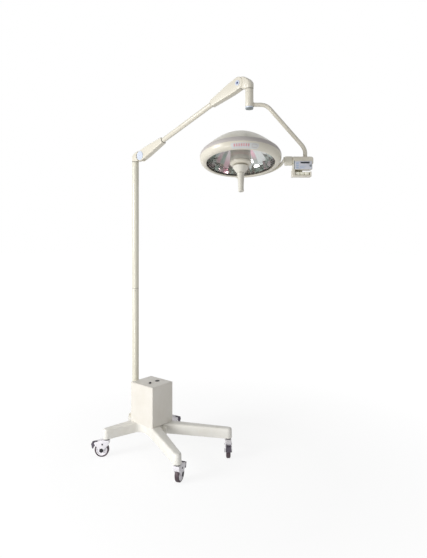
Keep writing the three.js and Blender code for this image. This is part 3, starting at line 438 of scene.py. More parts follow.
ENAMEL = finish("sprayed_enamel", (228, 223, 209), (222, 216, 200), (0.28, 0.38), bump=0.08, coat=0.3)
SHEET = finish("sheet_enamel", (233, 229, 221), (226, 221, 211), (0.32, 0.42), bump=0.2, coat=0.2)
TUBE = finish("tube_enamel", (229, 226, 211), (223, 219, 202), (0.26, 0.36), bump=0.06, coat=0.3,
              stretch=(1, 1, 0.25))
CAST = finish("cast_enamel", (240, 238, 232), (233, 230, 221), (0.34, 0.48), drift=14,
              grain=120, bump=0.45, coat=0.15)
SHELL = finish("spun_shell_enamel", (228, 225, 211), (222, 218, 203), (0.27, 0.37), bump=0.06, coat=0.3)
BAND = finish("satin_grey_band", (200, 194, 191), (190, 184, 181), (0.38, 0.5), grain=500, bump=0.3)
NYLON = finish("moulded_nylon", (240, 237, 241), (231, 228, 233), (0.3, 0.42), grain=420, bump=0.15)
TREAD = finish("polyurethane_tread", (84, 68, 74), (62, 50, 57), (0.45, 0.65), drift=40, bump=0.5)
BLACK = finish("textured_black_plastic", (32, 32, 34), (24, 24, 27), (0.35, 0.5), grain=700, bump=0.5)
PEDAL = finish("pedal_plastic", (98, 90, 102), (84, 77, 88), (0.4, 0.55), grain=600, bump=0.4)
SLATE = finish("slate_cap_plastic", (140, 149, 152), (128, 138, 142), (0.35, 0.5), grain=500, bump=0.3)
PALE_BLUE = finish("pale_blue_cap", (216, 224, 238), (206, 215, 232), (0.18, 0.28), coat=0.3)
DEEP_BLUE = finish("deep_blue_mark", (58, 70, 122), (48, 60, 110), (0.3, 0.42), bump=0.1)
PANEL = finish("membrane_panel", (214, 216, 224), (207, 209, 218), (0.3, 0.4), grain=600, bump=0.35)
PRINT = finish("panel_print", (176, 192, 216), (166, 184, 209), (0.35, 0.45), bump=0.1)
PINK = finish("pink_print", (220, 138, 146), (212, 128, 138), (0.35, 0.45), bump=0.1)
LABEL = finish("label_foil", (222, 223, 222), (212, 214, 214), (0.3, 0.42), bump=0.15)
IVORY = finish("ivory_handle_plastic", (228, 225, 215), (221, 217, 205), (0.34, 0.46), grain=520,
               bump=0.3)
KEYS = finish("key_cap_plastic", (250, 248, 230), (244, 241, 221), (0.38, 0.5), grain=600, bump=0.3)
BROWN = finish("tray_back_plastic", (218, 212, 190), (208, 201, 178), (0.4, 0.55), grain=500, bump=0.4)
RUBBER = finish("joint_rubber", (74, 74, 70), (60, 60, 57), (0.55, 0.75), grain=600, bump=0.5)
STEEL = finish("turned_steel", (188, 190, 192), (170, 173, 176), (0.22, 0.34), metal=1.0,
               drift=30, grain=900, bump=0.12, stretch=(1, 1, 6))
BATTERY = finish("battery_case", (66, 76, 88), (56, 64, 76), (0.4, 0.55), grain=600, bump=0.5)
print(len(bpy.data.materials), "materials so far")

# %% [markdown]
# The mirror is a cold-light mirror: a stack of thin layers on the reflector throws visible
# light forward and lets heat through, and it shows teal, pink and blue by place. Its colour
# is a ramp over noise that changes from facet to facet. Dark grey-green and white in the
# ramp are painted reflection, streaks of light and dark from facet to facet, and the mirror
# is painted darker towards the side away from the yoke. The lens ring is clear, so it is
# mostly see-through when looked at squarely and a little denser at a grazing angle.

# %% Mirror, lens ring and heat filter
FACETS, WIPE_SCALE, GLOSS_SCALE = 36, 14, 60
SHADE_FROM, SHADE_TO = -0.16, 0.04  # metres across the head, where the painted darker side of the mirror ends


def turned_into(tree, where):
    """Object coordinates carried into a place: its origin and its axes undo the turn."""
    from mathutils import Matrix

    origin, rows = where
    mapping = tree.nodes.new("ShaderNodeMapping")
    mapping.vector_type = "TEXTURE"
    mapping.inputs["Location"].default_value = origin * MM
    mapping.inputs["Rotation"].default_value = Matrix(rows.T.tolist()).to_euler()
    tree.links.new(tree.nodes.new("ShaderNodeTexCoord").outputs["Object"], mapping.inputs["Vector"])
    return mapping.outputs["Vector"]


def ramp(tree, factor, *stops):
    """A colour ramp with stops of (position, colour)."""
    made = tree.nodes.new("ShaderNodeValToRGB")
    band = made.color_ramp
    while len(band.elements) < len(stops):
        band.elements.new(1.0)
    for element, (position, colour) in zip(band.elements, stops):
        element.position, element.color = position, colour
    tree.links.new(factor, made.inputs["Fac"])
    return made.outputs["Color"]


def maths(tree, operation, *terms):
    """One step of arithmetic on outputs of nodes or on plain numbers."""
    made = tree.nodes.new("ShaderNodeMath")
    made.operation = operation
    for socket, term in zip(made.inputs, terms):
        if isinstance(term, float):
            socket.default_value = term
        else:
            tree.links.new(term, socket)
    return made.outputs[0]


def cold_mirror():
    """Polished layers. Each facet has a colour of its own, by the whole number of facets in its
    angle round the lamp's axis, and noise drawn out along the facet varies it. Teal, pink and
    blue are the coating's colours; the dark grey-green and white are painted reflection, and
    a painted darker side away from the yoke multiplies them."""
    material, tree, surface = shader("cold_light_mirror")
    inside = turned_into(tree, HEAD)
    parts = node(tree, "SeparateXYZ")
    tree.links.new(inside, parts.inputs[0])
    angle = maths(tree, "ARCTAN2", parts.outputs["Y"], parts.outputs["X"])
    whole = maths(tree, "FLOOR", maths(tree, "MULTIPLY", angle, FACETS / (2 * math.pi)))
    strip = node(tree, "CombineXYZ")
    tree.links.new(whole, strip.inputs["X"])
    tree.links.new(parts.outputs["Z"], strip.inputs["Z"])
    drawn = node(tree, "Mapping", Scale=(7.3, 1, 3.5))
    tree.links.new(strip.outputs[0], drawn.inputs["Vector"])
    # Painted reflection: the dark grey-green and white stops paint dark and light streaks from facet to
    # facet; the teal, pink and blue stops are the coating's own colours.
    tint_and_painted_reflection = ramp(
        tree, noise(tree, drawn.outputs["Vector"], 1.0, 2.0),
        (0.26, tone(132, 156, 148)), (0.36, tone(214, 224, 220)), (0.45, tone(250, 252, 252)),
        (0.53, tone(186, 194, 188)), (0.6, tone(246, 204, 216)), (0.66, tone(252, 250, 252)),
        (0.76, tone(182, 200, 236)),
    )
    # Painted reflection: the mirror is painted darker towards the side of the head away from the yoke.
    shade = spread(tree, parts.outputs["X"], 0.0, 1.0, SHADE_FROM, SHADE_TO)
    deep = blended(tree, shade, tone(158, 166, 158), tone(255, 255, 255))
    both = tree.nodes.new("ShaderNodeMix")
    both.data_type, both.blend_type = "RGBA", "MULTIPLY"
    both.inputs["Factor"].default_value = 1.0
    tree.links.new(tint_and_painted_reflection, both.inputs[6])
    tree.links.new(deep, both.inputs[7])
    tree.links.new(both.outputs[2], surface.inputs["Base Color"])
    gloss = noise(tree, inside, GLOSS_SCALE, 3.0)
    tree.links.new(spread(tree, gloss, 0.05, 0.12), surface.inputs["Roughness"])
    surface.inputs["Metallic"].default_value = 1.0
    return material


def glassy(tree, surface, face, graze, rough):
    """See-through when faced and denser at the edge: alpha runs from face to graze. Wiping
    leaves a gloss that varies."""
    weight = node(tree, "LayerWeight", Blend=0.35)
    tree.links.new(spread(tree, weight.outputs["Facing"], face, graze, 0.0, 1.0), surface.inputs["Alpha"])
    wipe = noise(tree, tree.nodes.new("ShaderNodeTexCoord").outputs["Object"], WIPE_SCALE, 5.0)
    tree.links.new(spread(tree, wipe, *rough), surface.inputs["Roughness"])


def clear(name, colour, face, graze, rough):
    """Glass of one colour."""
    material, tree, surface = shader(name)
    surface.inputs["Base Color"].default_value = colour
    glassy(tree, surface, face, graze, rough)
    return material


def heat_glass():
    """Rosy glass over the lamp, greener towards its top."""
    material, tree, surface = shader("rosy_heat_filter")
    parts = node(tree, "SeparateXYZ")
    tree.links.new(turned_into(tree, HEAD), parts.inputs[0])
    height = spread(tree, parts.outputs["Z"], 0.0, 1.0, 0.02, 0.09)
    colour = blended(tree, height, tone(244, 230, 218), tone(176, 200, 190))
    tree.links.new(colour, surface.inputs["Base Color"])
    glassy(tree, surface, 0.8, 1.0, (0.25, 0.4))
    return material


MIRROR = cold_mirror()
LENS = clear("clear_lens", tone(240, 246, 246), 0.02, 0.1, (0.02, 0.06))
FILTER = heat_glass()
DISPLAY = clear("smoked_window", tone(40, 46, 54), 0.96, 1.0, (0.08, 0.16))
print(len(bpy.data.materials), "materials in all")

# %% [markdown]
# ## The base
# The base is one iron casting: four legs like a stretched X, open underneath, with round
# tips over the caster stems and a web that sweeps from leg to leg. Its plan is one outline of
# arcs and curves, and the casting is a slab of it with a little draft and a wide top edge.

# %% The casting's outline
LEG_UNDER, BASE_TOP = 126.0, 196.0
TIP_R, ROOT_HALF, BOSS_R = 27.0, 40.0, 56.0
STEMS = {corner: CASTERS[corner][0][:2] - POLE[0][:2] for corner in CORNERS}
ROOTS = {"front_left": (300, 70), "rear_left": (78, 105), "rear_right": (78, -105),
         "front_right": (300, -70)}


def leg_sides(corner):
    """A leg's direction, and the root and tip of its right side and of its left side."""
    stem, root = STEMS[corner], np.array(ROOTS[corner], float)
    go = unit(stem - root)
    side = np.array([-go[1], go[0]])
    right = (root - ROOT_HALF * side, stem - TIP_R * side)
    return go, right, (root + ROOT_HALF * side, stem + TIP_R * side)


def crossing(a, b, c, d):
    """Where the line through a and b meets the line through c and d."""
    s, _ = np.linalg.solve(np.stack([b - a, c - d], 1), c - a)
    return a + s * (b - a)


def base_outline():
    """Round the casting counter-clockwise: a tip arc, then the web to the next leg."""
    line = []
    for i, corner in enumerate(CORNERS):
        go, _, (left_root, left_tip) = leg_sides(corner)
        _, (right_root, right_tip), _ = leg_sides(CORNERS[(i + 1) % 4])
        heading = math.degrees(math.atan2(go[1], go[0]))
        line.append(arc(TIP_R, heading - 90, heading + 90, 24, STEMS[corner]))
        if corner == "rear_left":
            line.append(curve3(left_root, (left_root[0] - 4, BOSS_R + 2), (0, BOSS_R)))
            line.append(arc(BOSS_R, 90, 270, 36))
            line.append(curve3((0, -BOSS_R), (right_root[0] - 4, -BOSS_R - 2), right_root))
        else:
            bend = crossing(left_root, left_tip, right_root, right_tip)
            line.append(curve3(left_root, bend, right_root, 24))
    return without_repeats(np.vstack(line))


plan = base_outline()
print("the casting's outline has", len(plan), "points")

# %% The casting
TOP_EDGE = rims(0, BASE_TOP, 0, 13, 7)[1:] + (1.5, 0)
UNDER = [(24, 187), (12, 186), (8.5, 182), (7, 132), (6.6, 127.4), (5.4, 126.2), (2.6, 126.2),
         (1.0, 127.2), (0, 130)]
casting = piece(
    "base_frame", [slab(plan, [*UNDER, *TOP_EDGE.tolist()])], POLE, CAST, "base",
    replaces=["base_casting"], slot="cast_paint",
)
bosses = [
    shifted(bead(20, LEG_UNDER + 0.2, BASE_TOP - 10, 1.5), (*STEMS[corner], 0)) for corner in CORNERS
]
piece("stem_bosses", bosses, POLE, CAST, "base", slot="cast_paint")
rib_plans = [(0, -4, 330, 4), (60, -110, 68, 110), (280, -80, 288, 80)]
ribs = [slab(oblong(*sides, 1), rims(LEG_UNDER + 12, BASE_TOP - 9, 1, 0, 2)) for sides in rib_plans]
ribs.append(bead(38, LEG_UNDER + 0.2, BASE_TOP - 9, 2))
piece("base_ribs", ribs, POLE, CAST, "base", slot="cast_paint")
print("base frame", len(casting.data.polygons), "faces")

# %% [markdown]
# ## The casters
# Each caster has a white hood over a wheel that trails behind its stem, a hub cap on the
# axle, a dark tread, and a pedal that hangs behind the tread and brakes it. The hood is a
# slab with rounded rims; one well, open to the back, is then cut out of it, as its mould does.

# %% Hood, wheel and pedal shapes
WHEEL_R, WHEEL_HALF, TRAIL, FORK_HALF = 50.0, 16.0, 33.0, 23.0
HOOD_TOP = LEG_UNDER - 8
WELL_HALF = WHEEL_HALF + 2
PEDAL_X, PEDAL_Z = -TRAIL - 42, WHEEL_R + 47
COVER_Y, COVER_SPOTS = 23.6, ((14, -TRAIL, WHEEL_R), (5.5, -TRAIL + 6, WHEEL_R + 42))


def hood_outline():
    """From the crown down the front, round the axle, up to the pedal's ear and back."""
    axle, ear = (-TRAIL, WHEEL_R), arc(9, 225, 108, 14, (PEDAL_X, PEDAL_Z))
    return without_repeats(np.vstack([
        curve3((20, HOOD_TOP), (24, WHEEL_R + 36), (-2, WHEEL_R + 20)),
        arc(13, -29, -144, 20, axle),
        ear,
        curve3(ear[-1], (-46, HOOD_TOP - 3), (-20, HOOD_TOP), 14),
    ]), apart=0.3)[::-1]


def tread(radius, half, groove=0.0):
    """A tyre's section: a flat tread with round shoulders. The groove argument is not used."""
    corners = [(39.3, -half + 2), (radius - 7, -half + 1), (radius - 0.5, -half + 5), (radius, 0),
               (radius - 0.5, half - 5), (radius - 7, half - 1), (39.3, half - 2)]
    return soften(corners, [0.5, 3, 4, 40, 4, 3, 0.5], 5)


def disc_section(half):
    """A wheel disc: a hub boss, a dished web and a rim that holds the tyre."""
    corners = [(4.5, -half), (13, -half), (17, -half + 6), (30, -half + 7), (34, -half + 3),
               (39, -half + 2.5),
               (39, half - 2.5), (34, half - 3), (30, half - 7), (17, half - 6), (13, half), (4.5, half)]
    return soften(corners, [0, 1.5, 3, 3, 2, 0.8, 0.8, 2, 3, 3, 1.5, 0], 4)


def pedal_outline():
    """The step on top, the hooked shoe below."""
    return soften(
        [(3, -6), (6, 2), (1, 6.5), (-8, 6), (-27, 1), (-30, -4), (-27, -9), (-22.4, -33.6), (-16, -33.6),
         (-8, -12)],
        [2, 2, 3, 4, 3, 3, 3, 1.5, 1.5, 5], 4,
    )[::-1]


def hood_well():
    """The wheel's round well, open to the back for the tread and the pedal."""
    wheel = arc(WHEEL_R + 4, -90, 122, 60, (-TRAIL, WHEEL_R))
    mouth = [(PEDAL_X + 13, HOOD_TOP + 5), (-140, HOOD_TOP + 5), (-140, -10), (-TRAIL, -10)]
    return np.vstack([wheel, mouth])


HOOD = slab(hood_outline(), rims(-FORK_HALF, FORK_HALF, 5, 5))
WELL = slab(hood_well(), [(0, -WELL_HALF), (0, WELL_HALF)])
RACE = [(8, HOOD_TOP - 1), (17, HOOD_TOP - 1), (18.5, LEG_UNDER - 1.2), (8, LEG_UNDER - 1.2)]
print("the hood has", len(HOOD[1]), "faces before it is cut")

# %% Four casters
for corner in CORNERS:
    stand = CASTERS[corner]
    axle = moved(stand, (-TRAIL, 0, WHEEL_R))
    pivot = moved(stand, (PEDAL_X, 0, PEDAL_Z))
    swivel, wheel, pedal = (word + corner for word in ("caster_", "wheel_", "pedal_"))
    piece(
        "hood_" + corner, [HOOD], across(stand), NYLON, swivel, slot="caster_white",
        replaces=["caster_fork_" + corner],
        cuts=[("well", [WELL], across(stand))],
    )
    piece("swivel_race_" + corner, [turned(soften(RACE, 0.6))], stand, BLACK, swivel,
          slot="black_plastic")
    bolts = [bead(6, HOOD_TOP, LEG_UNDER + 38, 1, 24),
             shifted(bead(4, -24, 24, 1, 32), (-TRAIL, 0, WHEEL_R), LIE_Y),
             shifted(bead(3, -21, 21, 0.6, 24), (PEDAL_X, 0, PEDAL_Z), LIE_Y)]
    piece("axle_" + corner, bolts, stand, STEEL, swivel, slot="steel")
    covers = [shifted(bead(radius, side * COVER_Y - 2, side * COVER_Y + 2, 1.2, 40), (x, 0, z), LIE_Y)
              for side in (-1, 1) for radius, x, z in COVER_SPOTS]
    piece("axle_covers_" + corner, covers, stand, BLACK, swivel, slot="black_plastic")
    piece("wheel_disc_" + corner, [turned(disc_section(WHEEL_HALF))], across(axle), NYLON, wheel,
          replaces=["caster_disc_" + corner], slot="caster_white")
    piece("tread_" + corner, [turned(tread(WHEEL_R, WHEEL_HALF))], across(axle), TREAD, wheel,
          replaces=["caster_tyre_" + corner], slot="tyre_rubber")
    caps = [shifted(bead(10, 15.2, 17.4, 1.2), (0, 0, 0)),
            shifted(bead(10, -17.4, -15.2, 0.2, bottom=1.2))]
    piece("hub_cap_" + corner, caps, across(axle), BLACK, wheel, slot="black_plastic")
    lever = slab(pedal_outline(), rims(-WELL_HALF + 1, WELL_HALF - 1, 1.5, 1.5, 3))
    ridges = [slab(oblong(x, 3 + 0.2 * x + 5.2, x + 2, 3 + 0.2 * x + 6.4, 0.5, 2),
                   rims(-13, 13, 0.4, 0.4, 2))
              for x in (-22.0, -17.0, -12.0)]
    piece("brake_lever_" + corner, [lever, *ridges], across(pivot), PEDAL, pedal,
          replaces=["brake_pedal_" + corner], slot="black_plastic")

# %% [markdown]
# ## The battery box
# A folded sheet-metal box stands on the casting behind the front legs and keeps the light on
# in a power cut. Its lid carries the mains rocker and a fuse holder, and its back has the
# mains inlet and a row of vents. Folded sheet has small, even radii, so both are slabs.

# %% Shell and lid
BOX_REAR, BOX_FRONT, BOX_HALF, BOX_TOP = 64.0, 293.0, 100.0, 480.0
LID_THICK = 4.0
SWITCH_SPOT, FUSE_SPOT = (195, 39), (198, -35)


def box_plan(shrink=0.0, corner=5.0):
    """The box from above."""
    return oblong(BOX_REAR + shrink, -BOX_HALF + shrink, BOX_FRONT - shrink, BOX_HALF - shrink, corner, 6)


vents = [slab(oblong(-60, 330 + 16 * i, 0, 336 + 16 * i, 2.9, 5), [(0, -9), (0, 9)]) for i in range(5)]
vents = [shifted(vent, (BOX_REAR, 0, 0), [(0, 1, 0), (0, 0, 1), (1, 0, 0)]) for vent in vents]
inlet_hole = slab(oblong(BOX_REAR - 8, 43.7, BOX_REAR + 8, 72.3, 1), [(0, 231.7), (0, 253.3)])
piece(
    "battery_box_shell",
    [slab(box_plan(), [(3, BOX_TOP - 4.6), (3, BASE_TOP + 3.3), (20, BASE_TOP + 3.3)][::-1]
          + [(2.6, BOX_TOP - 4.3), (0.4, BOX_TOP - 4.3), (0, BOX_TOP - 4.8), (0, BASE_TOP + 1.2),
             (0.6, BASE_TOP + 0.4), (20, BASE_TOP + 0.3)])],
    POLE, SHEET, "base", replaces=["box_shell"], slot="cream_paint",
    cuts=[("vents", vents, POLE), ("inlet_hole", [inlet_hole], POLE)],
)
lid_rims = rims(BOX_TOP - LID_THICK, BOX_TOP, 0.4, 1.6, 4)
piece(
    "battery_box_lid", [slab(box_plan(), lid_rims)], POLE, SHEET, "base", replaces=["box_lid"],
    slot="cream_paint",
    cuts=[("holes", [shifted(bead(radius, BOX_TOP - 30, BOX_TOP + 9, 0.1), (*spot, 0))
                     for radius, spot in ((12, SWITCH_SPOT), (6.3, FUSE_SPOT))], POLE)],
)
screw_spots = [(x, y) for x in (BOX_REAR + 14, BOX_FRONT - 14) for y in (-BOX_HALF + 14, BOX_HALF - 14)]


def screw_head(radius):
    """A pan head with a round socket."""
    corners = [(0, -1), (radius, -1), (radius, 0.5), (0.8 * radius, 1), (0.45 * radius, 1),
               (0.4 * radius, 0.1), (0, 0.1)]
    return turned(soften(corners, [0, 0, 0.3 * radius, 0.2, 0.1, 0.1, 0], 3, loop=False), 32)


flat_heads = [shifted(screw_head(3.2), (x, y, BOX_TOP - 0.9)) for x, y in screw_spots]
piece("lid_screws", flat_heads, POLE, STEEL, "base", slot="steel")
print("box", BOX_FRONT - BOX_REAR, "mm long")

# %% Rocker, fuse holder and inlet
bezel = turned(soften([(12, -2), (16, -2), (16, 2), (14.5, 3), (12, 3)], [0.3, 0.3, 1, 0.6, 0.5]))
piece("switch_bezel", [shifted(bezel, (*SWITCH_SPOT, BOX_TOP + 0.2))], POLE, BLACK, "base",
      slot="black_plastic")
rocker_side = soften([(-11, -5), (11, -5), (11, 3.2), (0, 1.2), (-11, 5.2)], [0.5, 0.5, 1.5, 14, 1.5], 5)
rocker_at = moved(POLE, (*SWITCH_SPOT, BOX_TOP))
piece(
    "mains_rocker", [slab(rocker_side, rims(-11, 11, 0.5, 0.5))], across(rocker_at), BLACK, "switch",
    replaces=["rocker_switch"], slot="black_plastic",
    common=[("well", [bead(11, -5, 6, 0.8, 64)], rocker_at)],
)
marks = [shifted(slab(oblong(-5, -0.5, 5, 0.5, 0.4, 2), [(0, 0), (0, 0.25)]), (6.5, 0, 2.3),
                 [(0, 1, 0), (-0.984, 0, -0.179), (-0.179, 0, 0.984)])]
piece("rocker_mark", marks, rocker_at, IVORY, "switch", slot="handle_plastic")
flutes = 1.18 * (6.9 + 0.35 * np.cos(np.arange(72) * math.pi / 1.5))
cap_angle = np.linspace(0, 2 * math.pi, 72, endpoint=False)
fluted = np.stack([flutes * np.cos(cap_angle), flutes * np.sin(cap_angle)], 1)
fuse_at = moved(POLE, (*FUSE_SPOT, BOX_TOP))
piece("fuse_holder", [bead(9, 0.3, 2.4, 0.6), bead(6, -14, 1, 0.5),
                      slab(fluted, rims(2, 8, 0.2, 1.2, 3))],
      fuse_at, BLACK, "base", replaces=["fuse_cap"], slot="black_plastic")
dress(BLACK, "mains_inlet")
dress(BATTERY, "battery_pack")
dress(STEEL, "power_supply", "balance_spring", "spring_rod", "levelling_link", "bulb_carriage")
print("rocker and fuse on the lid at", BOX_TOP, "mm")

# %% [markdown]
# ## The pole
# Two tubes plug into each other, so a thin dark line crosses the pole half way up, with the
# screw that locks it just below. A tube is a closed profile carried round Z. A dark washer
# shows as the thin seam under each elbow.

# %% Pole, socket and washers
POLE_R, SPLIT = 25.0, 1151.0
TO_LENS = -40.0


def facing(angle):
    """Rows that stand a shape's Z axis level, towards an angle from X."""
    a = math.radians(angle)
    return [(0, 0, -1), (-math.sin(a), math.cos(a), 0), (math.cos(a), math.sin(a), 0)]


def outwards(shape, angle, radius, height):
    """Puts a shape on a round surface, facing out."""
    a = math.radians(angle)
    return shifted(shape, (radius * math.cos(a), radius * math.sin(a), height), facing(angle))


def sleeve(outer, inner, low, high, edge=1.0):
    """A tube with rounded rims, carried round Z."""
    return turned(soften([(inner, low), (outer, low), (outer, high), (inner, high)],
                         [0.3, edge, edge, 0.3]), 96)


piece("pole_lower_tube", [sleeve(POLE_R, 21.5, LEG_UNDER + 10.3, SPLIT - 0.8, 1.2)], POLE, TUBE, "base",
      replaces=["pole_lower"], slot="cream_paint")
upper_profile = [(17.5, SPLIT - 90), (21.2, SPLIT - 90), (21.2, SPLIT + 0.8), (POLE_R, SPLIT + 0.8),
                 (POLE_R, POLE_TOP - 2.2), (15.6, POLE_TOP - 2.2), (15.6, POLE_TOP - 75),
                 (17.5, POLE_TOP - 82)]
piece("pole_upper_tube", [turned(soften(upper_profile, [0.3, 1, 0, 1.2, 1.2, 0.5, 0.3, 0.3]))], POLE,
      TUBE, "base", replaces=["pole_upper"], slot="cream_paint")
foot = BASE_TOP + 0.3
socket_profile = [(25.3, foot), (50, foot), (50, foot + 8), (38, foot + 12), (33, foot + 18),
                  (32, foot + 64), (25.3, foot + 66)]
piece("pole_foot_socket", [turned(soften(socket_profile, [0.3, 0.8, 2.5, 6, 8, 1.5, 0.4]))], POLE, ENAMEL,
      "base", replaces=["pole_socket"], slot="cream_paint")
pole_screws = [outwards(screw_head(2.6), TO_LENS - 8, POLE_R - 0.3, SPLIT - 18)]
pole_screws += [outwards(screw_head(3), angle, 31.8, foot + 44) for angle in (70, 190, 310)]
FLANGE_SCREW_R = 44
for a in (1.9, 3.1, 4.3):
    spot = (FLANGE_SCREW_R * math.cos(a), FLANGE_SCREW_R * math.sin(a), foot + 8.6)
    pole_screws.append(shifted(screw_head(3.6), spot))
piece("pole_screws", pole_screws, POLE, STEEL, "base", slot="steel")
piece("seam_ring", [sleeve(24.2, 21.8, SPLIT - 1.2, SPLIT + 1.2, 0.2)], POLE, RUBBER, "base")
piece("pole_washer", [sleeve(23.8, 16, POLE_TOP - 2.4, POLE_TOP - 0.3, 0.4)], POLE, RUBBER, "base")
print("pole", round(POLE_TOP - LEG_UNDER), "mm long")

# %% [markdown]
# ## The elbows
# An elbow turns on the pole, or carries the hub, and holds the arm's hinge. Seen from the
# side it is a quarter round over its spindle, and seen from above its outer end is round, so
# it is what two slabs have in common, with a round seat cut for the arm's big end. A tongue
# with a slot for the levelling link stands in the seat.

# %% Both elbows
HINGE_REACH, ELBOW_HALF, ELBOW_TOP, SEAT_R = 75.0, 26.0, 36.0, 41.0
ARM_HALF, KNUCKLE_HALF, KNUCKLE_R, LINK_DROP = 23.0, 13.0, 32.0, 11.0


def curve4(a, b, c, d, steps=20):
    """A cubic curve from a to d that leans towards b and then c."""
    t = np.linspace(0, 1, steps + 1)[:, None]
    a, b, c, d = (np.array(q, float) for q in (a, b, c, d))
    return a * (1 - t) ** 3 + 3 * b * t * (1 - t) ** 2 + 3 * c * t**2 * (1 - t) + d * t**3


def elbow_side(drop):
    """From the side, with the hinge at the origin: a quarter round from the back to the top."""
    out = HINGE_REACH + ELBOW_HALF
    crest = curve4((out, -drop), (out, 46 - drop), (out - 38, ELBOW_TOP), (12, ELBOW_TOP), 28)
    rest = [(0, ELBOW_TOP), (0, -ELBOW_TOP), (26, -ELBOW_TOP), (HINGE_REACH - ELBOW_HALF, -drop)]
    return without_repeats(np.vstack([crest, rest]))


def elbow_plan():
    """From above: as wide as the arm at the hinge, round at the far end."""
    return without_repeats(np.vstack([
        [(-5, -ARM_HALF), (30, -ARM_HALF)],
        curve3((30, -ARM_HALF), (48, -ELBOW_HALF), (HINGE_REACH, -ELBOW_HALF)),
        arc(ELBOW_HALF, -90, 90, 40, (HINGE_REACH, 0)),
        curve3((HINGE_REACH, ELBOW_HALF), (48, ELBOW_HALF), (30, ARM_HALF)),
        [(-5, ARM_HALF)],
    ]))


def elbow(name, where, drop, body, node_name):
    """The shell of an elbow and its tongue, pin and spindle."""
    seat = bead(SEAT_R, -40, 40, 0.1, 96)
    piece(
        name, [slab(elbow_side(drop), rims(-ELBOW_HALF, ELBOW_HALF, 9, 9, 7))], across(where), ENAMEL,
        body, replaces=[node_name], slot="arm_paint",
        common=[("plan", [slab(elbow_plan(), [(0, 0.3 - drop), (0, ELBOW_TOP + 1)])], where)],
        cuts=[("seat", [seat], across(where))],
    )
    slot_cut = slab(oblong(-45, -45, 22, 45, 1), [(0, -4), (0, 4)])
    tongue = bead(KNUCKLE_R, -KNUCKLE_HALF, KNUCKLE_HALF, 1.2, 96)
    web = slab(oblong(6, -25, 50, 25, 3), rims(-KNUCKLE_HALF, KNUCKLE_HALF, 1, 1, 3))
    for part, shape in (("_tongue", tongue), ("_web", web)):
        piece(name + part, [shape], across(where), ENAMEL, body, slot="arm_paint",
              cuts=[("slot", [slot_cut], across(where))])
    pins = [shifted(bead(15, -drop - 70, 4 - drop, 1.5, 48), (HINGE_REACH, 0, 0)),
            shifted(bead(2.2, -5, 5, 0.3, 24), (0, 0, -LINK_DROP), LIE_Y)]
    piece(name + "_spindle", pins, where, STEEL, body, slot="steel")


elbow("lower_elbow_shell", LOW_ELBOW, LOW_HINGE[2] - POLE_TOP, "elbow", "lower_elbow")
elbow("upper_elbow_shell", TOP_ELBOW, TOP_HINGE[2] - HUB[2], "top_elbow", "upper_elbow")
print("elbow drops", round(LOW_HINGE[2] - POLE_TOP, 1), round(TOP_HINGE[2] - HUB[2], 1), "mm")

# %% [markdown]
# ## The spring arm
# A round tube joins two housings that taper from a round big end at the hinge to a neck. The
# balance spring and its rod lie inside, and the levelling link runs under them. Each housing
# is one slab that is drawn in towards the neck, with a mouth cut for the elbow's tongue.

# %% Housings and tube
BIG_R, NECK, HOUSING, TUBE_R = 39.0, 21.0, 240.0, 18.0


def housing_side(shrink=0.0, reach=0.0):
    """From the side: a big end round the hinge and straight flanks down to the neck."""
    big, neck = BIG_R - shrink, NECK - shrink
    lean = math.degrees(math.atan2(big - neck, HOUSING))
    kink = big + 1 - math.tan(math.radians(lean)) * 30
    flank = soften([(-30, big), (60, kink), (HOUSING + reach, neck), (HOUSING + reach, -neck),
                    (60, -kink), (-30, -big)], [0, 400, 2, 2, 400, 0], 6, loop=False)[1:-1]
    return without_repeats(np.vstack([flank, arc(big, 270 - lean, 90 + lean, 56)]))[::-1]


def drawn_in(shape):
    """Narrows a slab across Y towards the neck: half widths go from ARM_HALF to NECK."""
    points, faces = shape
    t = np.clip((points[:, 0] - 90) / (HOUSING - 90), 0, 1)
    scale = 1 - (1 - NECK / ARM_HALF) * t * t
    return points * np.stack([np.ones_like(t), np.ones_like(t), scale], 1), faces


def housing(name, where, node_name):
    """A housing, hollow over the width of the tongue, and a dark seat for the tube."""
    hollow = (("core", housing_side(4, -40)), ("mouth", oblong(-60, -60, 20, 26, 1)),
              ("top_mouth", oblong(-60, 0, 0, 60, 1)))
    body = drawn_in(slab(housing_side(), rims(-ARM_HALF, ARM_HALF, 6, 6, 6)))
    piece(name, [body], across(where), ENAMEL, "arm", replaces=[node_name], slot="arm_paint",
          cuts=[(part, [slab(outline, [(0, -14), (0, 14)])], across(where)) for part, outline in hollow])
    seat = sleeve(NECK - 0.6, TUBE_R + 0.2, HOUSING - 2, HOUSING + 1.4, 0.8)
    piece(name + "_seat", [shifted(seat, turn=LIE_X)], where, RUBBER, "arm")


housing("lower_arm_housing", ARM, "lower_housing")
housing("upper_arm_housing", ARM_BACK, "upper_housing")
tube_ends = (HOUSING - 66, ARM_LENGTH - HOUSING + 66)
piece("spring_arm_tube", [shifted(sleeve(TUBE_R, 16, *tube_ends, 1), turn=LIE_X)], ARM, ENAMEL, "arm",
      replaces=["arm_tube"], slot="arm_paint")
print("tube", round(tube_ends[1] - tube_ends[0]), "mm long")

# %% [markdown]
# The hinge pins end in caps: a broad pale disc over each end of the lower pin, and a small
# ring round a deep blue plug at the upper one, as a bolt cover would be.

# %% Hinge pins and their caps
FLANK = ARM_HALF + 0.3


def mirrored(profile):
    """The same turned profile at both sides of the arm."""
    p = np.array(profile, float)
    return [turned(p, 96), turned((p * (1, -1))[::-1], 96)]


def hinge_cap(radius, hollow):
    """A shallow dish with a round rim and a step down to its middle."""
    return soften([(0, FLANK - 1), (radius - 1, FLANK - 1), (radius, FLANK), (radius, FLANK + 1.4),
                   (radius - 2, FLANK + 2.7), (hollow + 2, FLANK + 2.7), (hollow, FLANK + 1.6),
                   (0, FLANK + 1.6)],
                  [0, 0.5, 0.5, 1.2, 1.2, 1, 1, 0], 4, loop=False)


